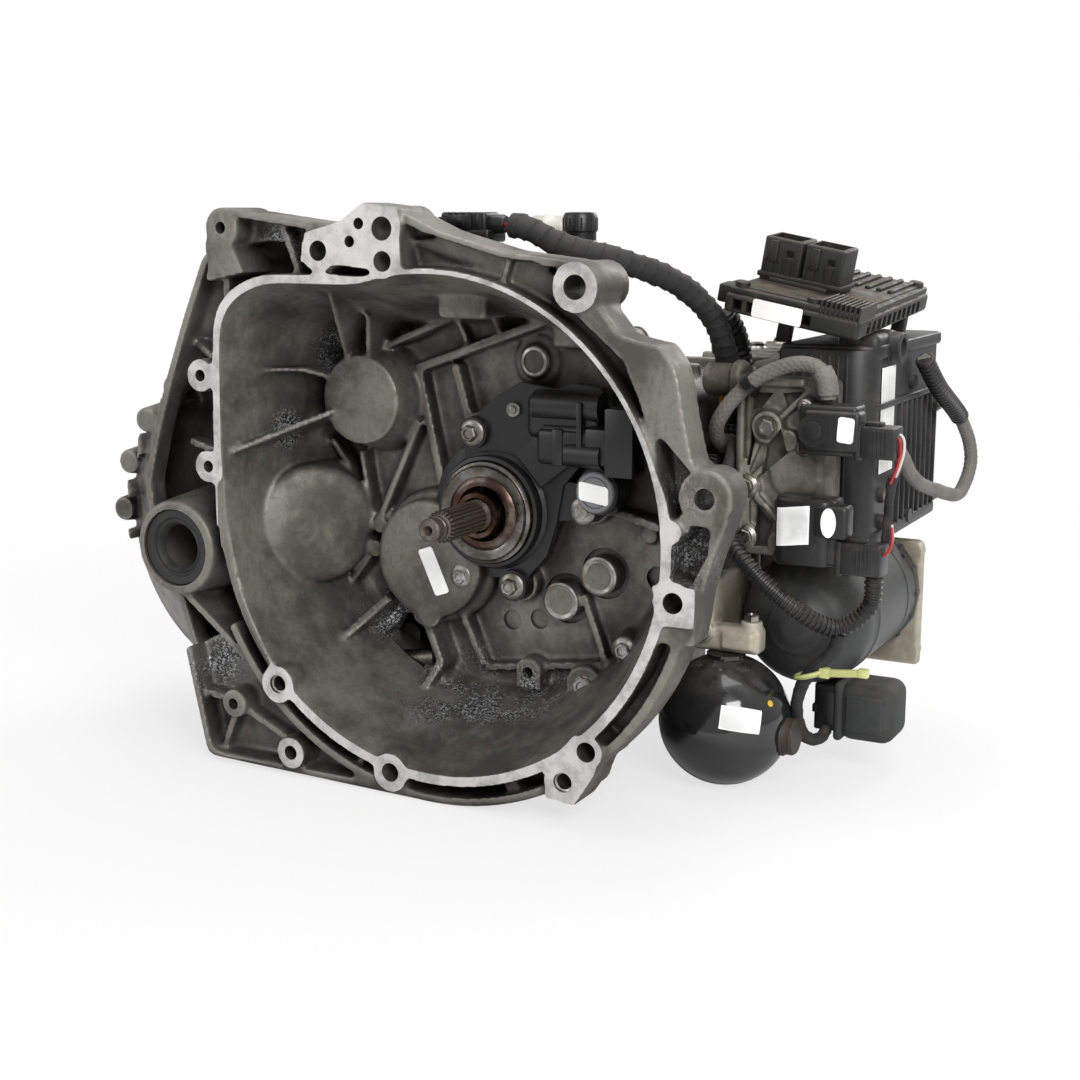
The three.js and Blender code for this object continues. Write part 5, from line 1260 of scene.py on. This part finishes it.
can_profile = [
    (6, 152), (11, 152.2), (13, 153.4), (18, 154.2), (20, 156), (27, 157.6), (33, 161), (38, 166),
    (42, 172), (44.4, 180), (45.2, 188), (45.4, 198), (46, 199), (46, 203), (45.4, 204), (45.4, 268),
    (46, 269), (46, 273), (45.2, 274), (45.2, 290), (46, 291), (46, 296)]
can = cut(turned(can_profile, (pump_x, 0, pump_z), (0, 1, 0), 128),
          *[block((pump_x + 43.6 * math.cos(a) - 3, pump_x + 43.6 * math.cos(a) + 3), (283, 288),
                  (pump_z + 43.6 * math.sin(a) + 1.4,
                   pump_z + 43.6 * math.sin(a) + 4)) for a in (0.6, 1.4, 2.2)])
crimps = [block((pump_x + 45 * math.cos(a) - 2, pump_x + 45 * math.cos(a) + 2), (289, pump_back),
                (pump_z + 45 * math.sin(a) - 2, pump_z + 45 * math.sin(a) + 2),
                0.8) for a in np.arange(0, 2 * math.pi, math.pi / 8)]
finished(together(can, *crimps), "pump_motor_can", "casing", (can_paint,), 30, ("pump_motor",))

pump_screws = ((122, -120), (228, -120), (228, -46), (122, -46))
flange_parts = [
    block((112.1, 238), (296.3, 304), (-130, -36), 4, 3), block((132, 234), (303, 310), (-122, -44), 3, 2),
    *[drum(x, z, 9, 296.4, 311, 8) for x, z in pump_screws],
    drum(190, -74, 30, 304, 312.5, 27), fin((150, 312, -118), (170, 312, -90), 5, 306),
    fin((222, 312, -106), (206, 312, -92), 5, 306),
]
finished(cut(cast(flange_parts, 1.2, 3, 0.5), block((100, 250), (280, 296.3), (-150, -20)),
             block((90, 111.8), (280, 330), (-150, -20)), block((111, 240), (303.6, 304.2), (-131, -124))),
         "pump_flange_plate", "casing", (beige_alloy,), 35, ("pump_flange",))
screw_set("pump_flange_screws", [((x, 311, z), (0, 1, 0), 9, 6, 7.5) for x, z in pump_screws])


# ---- accumulator ----
# A welded steel ball, painted gloss black, that hangs from the block on a screwed neck. Its charging plug
# sits at the right in a brown-black cap, and a blank sticker and a yellow paint spot are on its front.
def glossy(name, colour, rough=0.1):
    """Sprayed enamel with orange peel and a film of dust on top."""
    material, tree, shader = new_material(name)
    facing = node(tree, "SeparateXYZ", Vector=node(tree, "NewGeometry").outputs["Normal"]).outputs["Z"]
    film = times(tree, ramp(tree, facing, 0.2, 1.0),
                 ramp(tree, noise(tree, 60, 5, 0.65), 0.3, 0.7, 0.1, 0.55))
    tree.links.new(blended(tree, film, colour, (0.09, 0.085, 0.08, 1)), shader.inputs["Base Color"])
    tree.links.new(ramp(tree, film, 0, 0.5, rough, 0.5), shader.inputs["Roughness"])
    shader.inputs["Coat Weight"].default_value = 0.6
    shader.inputs["Coat Roughness"].default_value = 0.08
    rough_skin(tree, shader, [(noise(tree, 420, 2, 0.5), 0.12, 0.0004)])
    return material


gloss_black = glossy("gloss_black", (0.008, 0.008, 0.009, 1))
brown_black = moulded("brown_black", (0.022, 0.014, 0.009, 1), 0.45, 0.4, (0.1, 0.075, 0.05, 1))
ball_spot, ball_radius = Vector((152, 130, -136)), 45
ball_profile = []
for degree in range(-90, 91, 5):
    reach = ball_radius - 0.6
    if abs(degree) < 6:
        reach = ball_radius
    ball_profile.append((reach * math.cos(math.radians(degree)), reach * math.sin(math.radians(degree))))
accumulator_parts = [
    turned(ball_profile, ball_spot, (0.26, 0, 0.97), 96),
    turned([(15, 40), (15, 42), (13, 43), (13, 45.6)], ball_spot, (0, 0, 1), 48),
    hex_screw(ball_spot + Vector((0, 0, 41)), (0, 0, 1), 24, 3.4),
]
finished(together(*accumulator_parts), "accumulator_ball", "casing", (gloss_black,), 30,
         ("accumulator",))
cap_parts = [turned([(12.6, 34), (13, 43), (12.2, 44.4), (12.2, 49), (11, 50.6), (6, 51)],
                    ball_spot + Vector((0, 0, -6)), (1, 0, 0), 48),
             *[turned([(13.1, 0), (13.6, 0.8), (13.1, 1.6)], ball_spot + Vector((37 + 2.4 * i, 0, -6)),
                      (1, 0, 0), 48) for i in range(3)]]
finished(together(*cap_parts), "accumulator_cap", "casing", (brown_black,), 35)
front_way = (Vector((183, 86, -121)) - ball_spot).normalized()
sticker_right = Vector((0.2, 0, 0.98)).cross(front_way).normalized()
sticker_up = front_way.cross(sticker_right)


def round_ball(u, v, lift):
    way = front_way + sticker_right * (u - 0.5) * 0.64 + sticker_up * (v - 0.5) * 0.36
    return ball_spot + way.normalized() * (ball_radius - 0.5 + lift)


laid_on("accumulator_sticker", round_ball, 14, 10, 0.4)
dot_way = (front_way + sticker_right * 0.52 + sticker_up * 0.35).normalized()
dot = turned([(2.2, 0), (2.1, 0.4), (1.2, 0.8)], ball_spot + dot_way * (ball_radius - 0.6), dot_way, 24)
finished(dot, "accumulator_paint_spot", "casing",
         (moulded("yellow_paint", (0.75, 0.5, 0.04, 1), 0.4, 0.1),), 30)


# ---- harness ----
# The leads run between their housings and are held by them: the main harness in cloth tape, grey braided
# sleeves, corrugated conduits, and the bare wires where they enter the plugs.
def route(points, step=1.5):
    """Evenly spaced points and their distances along a smooth curve through the given ones."""
    points = [Vector(point) for point in points]
    ends = [2 * points[0] - points[1], *points, 2 * points[-1] - points[-2]]
    fine = []
    for a, b, c, d in zip(ends, ends[1:], ends[2:], ends[3:]):
        ab, bc, cd = [math.sqrt((q - p).length) for p, q in ((a, b), (b, c), (c, d))]
        leave = ((b - a) / ab - (c - a) / (ab + bc) + (c - b) / bc) * bc
        reach = ((c - b) / bc - (d - b) / (bc + cd) + (d - c) / cd) * bc
        for i in range(40):
            t = i / 40
            fine.append((2 * t ** 3 - 3 * t ** 2 + 1) * b + (t ** 3 - 2 * t ** 2 + t) * leave
                        + (3 * t ** 2 - 2 * t ** 3) * c + (t ** 3 - t ** 2) * reach)
    fine.append(points[-1])
    lengths = [0.0]
    for a, b in zip(fine, fine[1:]):
        lengths.append(lengths[-1] + (b - a).length)
    count = max(2, round(lengths[-1] / step))
    wanted = np.linspace(0, lengths[-1], count + 1)
    columns = [np.interp(wanted, lengths, [point[axis] for point in fine]) for axis in range(3)]
    return [Vector(spot) for spot in zip(*columns)], wanted.tolist()


def swept(points, radius, sides=24, step=1.5):
    """A round lead: radius is a number, or gives one for a distance along the lead and a turn round it."""
    spots, lengths = route(points, step)
    reach = radius if callable(radius) else lambda along, turn: radius
    across = (spots[1] - spots[0]).orthogonal().normalized()
    rings = []
    for i, (spot, along) in enumerate(zip(spots, lengths)):
        way = (spots[min(i + 1, len(spots) - 1)] - spots[max(i - 1, 0)]).normalized()
        across = (across - way * across.dot(way)).normalized()
        beside = way.cross(across)
        ring = []
        for side in range(sides):
            turn = 2 * math.pi * side / sides
            ring.append(spot + reach(along, turn) * (math.cos(turn) * across + math.sin(turn) * beside))
        rings.append(ring)
    return skin(rings)


def taped(radius, pitch=12.0, lift=0.7):
    """Overlapping turns of cloth tape: each turn's edge lies proud of the one before."""
    def reach(along, turn):
        share = (along / pitch + turn / (2 * math.pi)) % 1
        lump = 0.35 * math.sin(along * 0.19 + 2 * turn) + 0.25 * math.sin(along * 0.43 - turn)
        return radius - lift + lift * share ** 3 + lump * 0.6
    return reach


def corrugated(radius, pitch=3.6, depth=1.1):
    return lambda along, turn: radius - depth * (0.5 + 0.5
                                                 * math.tanh(4 * math.cos(2 * math.pi * along / pitch)))


def braided(radius, strands=12, pitch=9.0):
    """A braid: two sets of flat strands wound against each other, over and under."""
    def reach(along, turn):
        left = math.cos(strands / 2 * (turn + 2 * math.pi * along / (pitch * strands / 4)))
        right = math.cos(strands / 2 * (turn - 2 * math.pi * along / (pitch * strands / 4)))
        return radius - 0.45 + 0.32 * max(left, right) + 0.12 * math.sin(along * 0.23 + turn)
    return reach


tape_cloth = moulded("tape_cloth", (0.02, 0.02, 0.021, 1), 0.75, 0.5, (0.12, 0.105, 0.085, 1), 1300.0, 0.5)
braid_grey = moulded("braid_grey", (0.16, 0.15, 0.135, 1), 0.7, 0.35, (0.3, 0.28, 0.24, 1), 2200.0, 0.5)
conduit_black = moulded("conduit_black", (0.011, 0.011, 0.012, 1), 0.42, 0.55, (0.13, 0.11, 0.085, 1),
                        900.0, 0.1)
fine_step = 0.9
finished(swept([(29, 60, 189), (40, 60, 187), (60, 66, 177), (92, 86, 167), (116, 122, 152),
                (127, 158, 128), (128, 178, 104), (126.5, 199, 80),
                (126, 200, 57)], taped(8.4, 9, 0.9), 40, fine_step),
         "main_harness_tape", "casing", (tape_cloth,), 30, ("main_harness",))
finished(swept([(131, 184, 42), (131, 166, 44), (138, 142, 62), (158, 139, 86), (186, 138, 101),
                (206, 136, 101), (214, 134, 92), (215, 134, 81.2)], braided(5.2), 48, fine_step),
         "upper_sleeve_braid", "casing", (braid_grey,), 40, ("upper_sleeve",))
finished(swept([(119, 183, 30), (122, 168, 20), (141, 140, 0), (166, 116, -22), (199, 118, -50),
                (226, 134, -66), (246, 138, -50), (248, 138, -31)], corrugated(6), 28, 0.6),
         "lower_conduit_tube", "casing", (conduit_black,), 40, ("lower_conduit",))
side_points = [(241, 262, 98), (246, 282, 78), (254, 330, 46), (258, 342, 20), (256, 325, -2), (252, 270, 6),
               (250, 215, 22), (250, 175, 46), (250, 147.7, 57)]
finished(swept(side_points, braided(5, 10, 8.0), 40, fine_step),
         "side_sleeve_braid", "casing", (braid_grey,), 40, ("side_sleeve",))


def side_route(start, end):
    """The same right-hand lead, between two shares of its length."""
    spots, _ = route(side_points, 8)
    return spots[int(start * len(spots)):int(end * len(spots))]


finished(swept(side_route(0, 0.26), corrugated(6.6), 28, 0.6), "side_conduit_tube", "casing",
         (conduit_black,), 40)

# A ribbed conduit stands behind the harness plug, and a taped lead runs from there past the sensors.
finished(swept([(126, 206, 57), (127, 206, 78), (130, 200, 100), (128, 192, 118), (124, 184, 130)],
               corrugated(8.4, 4.6, 1.6), 32, 0.8),
         "rear_conduit_tube", "casing", (conduit_black,), 40)
finished(swept([(136, 182, 40), (142, 160, 44), (146, 142, 34), (147, 136, 12), (146, 138, -14),
                (142, 146, -36)],
               taped(4.2, 11, 0.4), 28, fine_step), "sensor_lead_tape", "casing", (tape_cloth,), 30)
finished(together(
    swept([(158, 138.4, 85.5), (160, 138.6, 87.2), (163, 138.5, 89.5)], 7.4, 32, 1),
    block((157, 164), (142, 149), (80, 90), 1)), "sleeve_clip", "casing", (black_nylon,), 35)
finished(together(
    swept([(210, 135, 98.8), (212, 134.6, 96), (214, 134, 92), (215, 134, 84)], braided(7, 14, 7), 48, 0.8),
    swept([(131, 183.6, 42), (131, 178, 42.3), (131, 172, 43)], braided(6.8, 14, 7), 48, 0.8)),
    "sleeve_ends", "casing", (braid_grey,), 40)


def wire(name, points, colour, radius=0.95):
    """A bare wire with its own colour."""
    return finished(swept(points, radius, 12, 1.5), name, "casing", (moulded(
        name + "_colour", colour, 0.35, 0.3),), 50)


red, white_wire, orange, black_wire = (
    (0.45, 0.012, 0.01, 1), (0.6, 0.6, 0.57, 1), (0.75, 0.16, 0.01, 1), (0.012, 0.012, 0.012, 1))
wire("upper_wire_red", [(258, 134, 62), (262, 133, 58), (262.5, 134, 50), (260, 136, 40), (256, 138, 30)],
     red)
wire("upper_wire_white", [(258, 137, 62), (263, 136, 60), (264, 137, 52), (261.5, 139, 42), (257, 141, 30)],
     white_wire)
wire("lower_wire_red", [(252, 133, -16), (257, 132, -14), (259.5, 134, -8), (258, 138, 2)], red)
wire("lower_wire_white", [(252, 137, -16), (256.5, 137, -13), (258.5, 139, -7), (257, 142, 3)], white_wire)
wire("upper_wire_black", [(258, 140, 60), (261.5, 140, 54), (261, 142, 42), (256, 144, 30)], black_wire, 1.3)
wire("top_wire_red", [(22, 58, 188.5), (29, 57.5, 189.5), (38, 58, 189), (48, 61, 183.5), (58, 64, 178)],
     red, 1.1)
finished(swept([(257, 140, 34), (254.5, 143, 22), (252, 150, 8), (252, 146, -10), (251, 140, -24)],
               taped(3.4, 9, 0.4), 24, 1),
         "sensor_link_tape", "casing", (tape_cloth,), 30)
wire("plug_wire_orange", [(124, 196, 54), (123, 190, 60), (124, 184, 66), (125, 178, 70), (127, 176, 76)],
     orange, 1.2)
wire("plug_wire_black", [(130, 196, 54), (131, 188, 60), (131, 180, 66), (130, 176, 74)], black_wire, 1.2)


# ---- plugs and fittings ----
# Black nylon plugs with latches: one on top of the bell, one at the harness's lower end, and a spare one
# below the pump in a rubber cap. A fluid fitting with a pale cap stands on the bell.
top_parts = [
    block((-20, 18), (48, 72), (178.3, 186), 1.5, 3), block((-18, 15), (50, 70), (184, 197), 2.2, 3),
    block((-20, -13), (49, 71), (184, 194), 1.2), block((-8, 6), (47.6, 52), (186, 195.5), 1.2),
    block((-4, 2), (46.6, 50), (188, 193.5), 0.8),
    *[block((-12 + 5 * i, -10 + 5 * i), (49, 71), (195.5, 197), 0.5, 1) for i in range(5)],
    turned([(6, 0), (6, 8), (5, 10)], (15, 60, 189.5), (1, 0, 0), 32),
    block((9, 13), (48.6, 71.4), (183, 196.6), 0.8),
]
finished(together(*top_parts), "top_plug_body", "casing", (black_nylon,), 32, ("top_plug",))
fitting_parts = [
    turned([(9, 0.3), (9, 6), (7, 7), (7, 13)], (55, 104, 158), (0, 0, 1), 6),
    turned([(11.2, 12), (11.2, 20), (10.4, 21), (10.4, 26), (11.2, 27), (11.2, 36), (10, 38.6), (6, 39)],
           (55, 104, 158), (0, 0, 1), 64),
    *[block((55 + 10.6 * math.cos(a) - 0.8, 55 + 10.6 * math.cos(a) + 0.8),
            (104 + 10.6 * math.sin(a) - 0.8, 104 + 10.6 * math.sin(a) + 0.8), (185.5, 193.5), 0.2,
            1) for a in np.arange(0, 2 * math.pi, math.pi / 9)],
]
finished(together(*fitting_parts), "fluid_fitting_body", "casing", (black_nylon,), 32,
         ("fluid_fitting",))
pale_cap = turned([(6.5, 8), (8, 10), (8, 20), (8.6, 20.6), (8.6, 23), (8, 24), (8, 32), (7.2, 33.6),
                   (4, 34)], (54, 104, 187), (-1, 0, 0), 48)
finished(pale_cap, "fluid_fitting_cap", "casing", (moulded(
    "pale_plastic", (0.62, 0.6, 0.54, 1), 0.45, 0.3),), 32)
harness_parts = [
    block((114, 138), (190, 214.6), (26, 54), 2, 3), block((115.5, 136.5), (188.2, 196), (28, 52), 2, 3),
    block((121, 131), (187.8, 192), (34, 47), 1), block((114, 138), (204, 207), (24.4, 55.8), 0.8),
    *[block((116 + 3.4 * i, 117.6 + 3.4 * i), (188, 190), (48, 54), 0.4, 1) for i in range(6)],
]
finished(together(*harness_parts), "harness_plug_body", "casing", (black_nylon,), 32,
         ("harness_plug",))
soft_rubber = moulded("soft_rubber", (0.032, 0.033, 0.034, 1), 0.75, 0.4, (0.14, 0.125, 0.1, 1), 900.0, 0.15)
capped_parts = [
    pillar(rounded_outline((196, 213), (184, 216), (2, 2, 2, 2)), -152, -119.6, 1.2),
    block((198, 211), (182.6, 190), (-148, -124), 1), block((195, 199), (183, 217), (-140, -134), 0.8),
]
finished(together(*capped_parts), "capped_plug_body", "casing", (black_nylon,), 32,
         ("capped_plug",))
rubber_cap = together(
    block((213, 252), (181, 221), (-157, -117), 9, 5),
    block((210.5, 217), (180.4, 221.6), (-157.6, -116.4), 3, 3),
    block((219, 245), (180, 184), (-150, -124), 1.8, 3))
finished(rubber_cap, "plug_rubber_cap", "casing", (soft_rubber,), 50)
finished(swept([(205, 186, -152), (203, 176, -156), (198, 160, -150), (196, 148, -132), (200, 143, -112),
                (210, 140, -96), (222, 138, -84), (228, 135, -70)],
               taped(4.6, 10, 0.4), 28, fine_step), "spare_lead_tape", "casing", (tape_cloth,), 30)

tie_yellow = moulded("tie_yellow", (0.5, 0.52, 0.2, 1), 0.4, 0.3)
tie_points = [(207 + 9 * math.cos(a), 141 + 6.5 * math.sin(a), -101 + 3 * math.cos(a))
              for a in np.linspace(0.2, 2 * math.pi - 0.1, 14)]
band = swept([*tie_points, (214, 138, -98), (226, 137, -97), (244, 138, -95)], lambda along,
             turn: 1.1 + 1.5 * math.cos(turn) ** 2, 12, 1.5)
finished(together(band, block((214, 221), (135.6, 141), (-101.5, -94.5), 1),
                  block((240, 247), (135.6, 140.4), (-98, -92), 1)),
         "cable_tie", "casing", (tie_yellow,), 40)


# ---- cast details on the bell ----
# What is pressed or screwed into the bell: two hollow dowels in its face, screws and sealing plugs in its
# floor, and the end of the selector rod that shows through the opening at the bottom.
dowels = together(
    *[turned([(6.3, 2), (6.3, 9), (5.2, 9), (5.2, 2.6)], (x, 0, z), (0, 1, 0), 40, True)
      for x, z in ((96, -150), (-120, -116))])
finished(dowels, "bell_dowels", "casing", (zinc,), 30)
screw_set("bell_floor_screws", [
    ((67, 90.5, -115), (0, -1, 0), 13, 6, 10), ((-23, 80.6, -47), (0, -1, 0), 9, 4, 8),
    ((98, 85, -85), (0, -1, 0), 10, 5, 8), ((-50, 88.5, -125), (0, -1, 0), 10, 5, 8)])
finished(together(*[turned([(13, 0), (13, 1.4), (11.6, 2), (9, 0.9), (0.1, 0.7)], (x, 94, z), (0, -1, 0),
                           64) for x, z in round_pads],
                  turned([(9.5, 0), (9.5, 1), (7.6, 1.4), (7, 0.4), (0.1, 0.2)], (25, 97.6, 100),
                         (0, -1, 0), 64)),
         "bell_sealing_plugs", "casing", (zinc,), 30)
finished(turned([(6, 0), (7.5, 1.5), (7.5, 38), (6, 39)], (-92, 100, -120), (0.985, 0, 0.17), 40),
         "selector_rod", "casing", (
    turned_steel("dull_steel", (0.26, 0.245, 0.22, 1), (0.12, 0.1, 0.08, 1)),), 30)


# ---- gears, shafts and bearings inside ----
# Case-hardened gears with an oil film, and ground shafts and bearings of bright steel. They keep the shapes
# that the construction gives them.
gear_steel = turned_steel("gear_steel", (0.33, 0.32, 0.31, 1), (0.12, 0.1, 0.08, 1), (0.18, 0.35))
inside_steel = turned_steel("inside_steel", (0.52, 0.51, 0.49, 1), None, (0.15, 0.3))
for name, kept in frame["nodes"].items():
    if kept.data.materials and not kept.hide_render:
        kept.data.materials.clear()
        kept.data.materials.append(gear_steel
                                   if "gear" in name or "idler" in name or "output_shaft" in name
                                   else inside_steel)
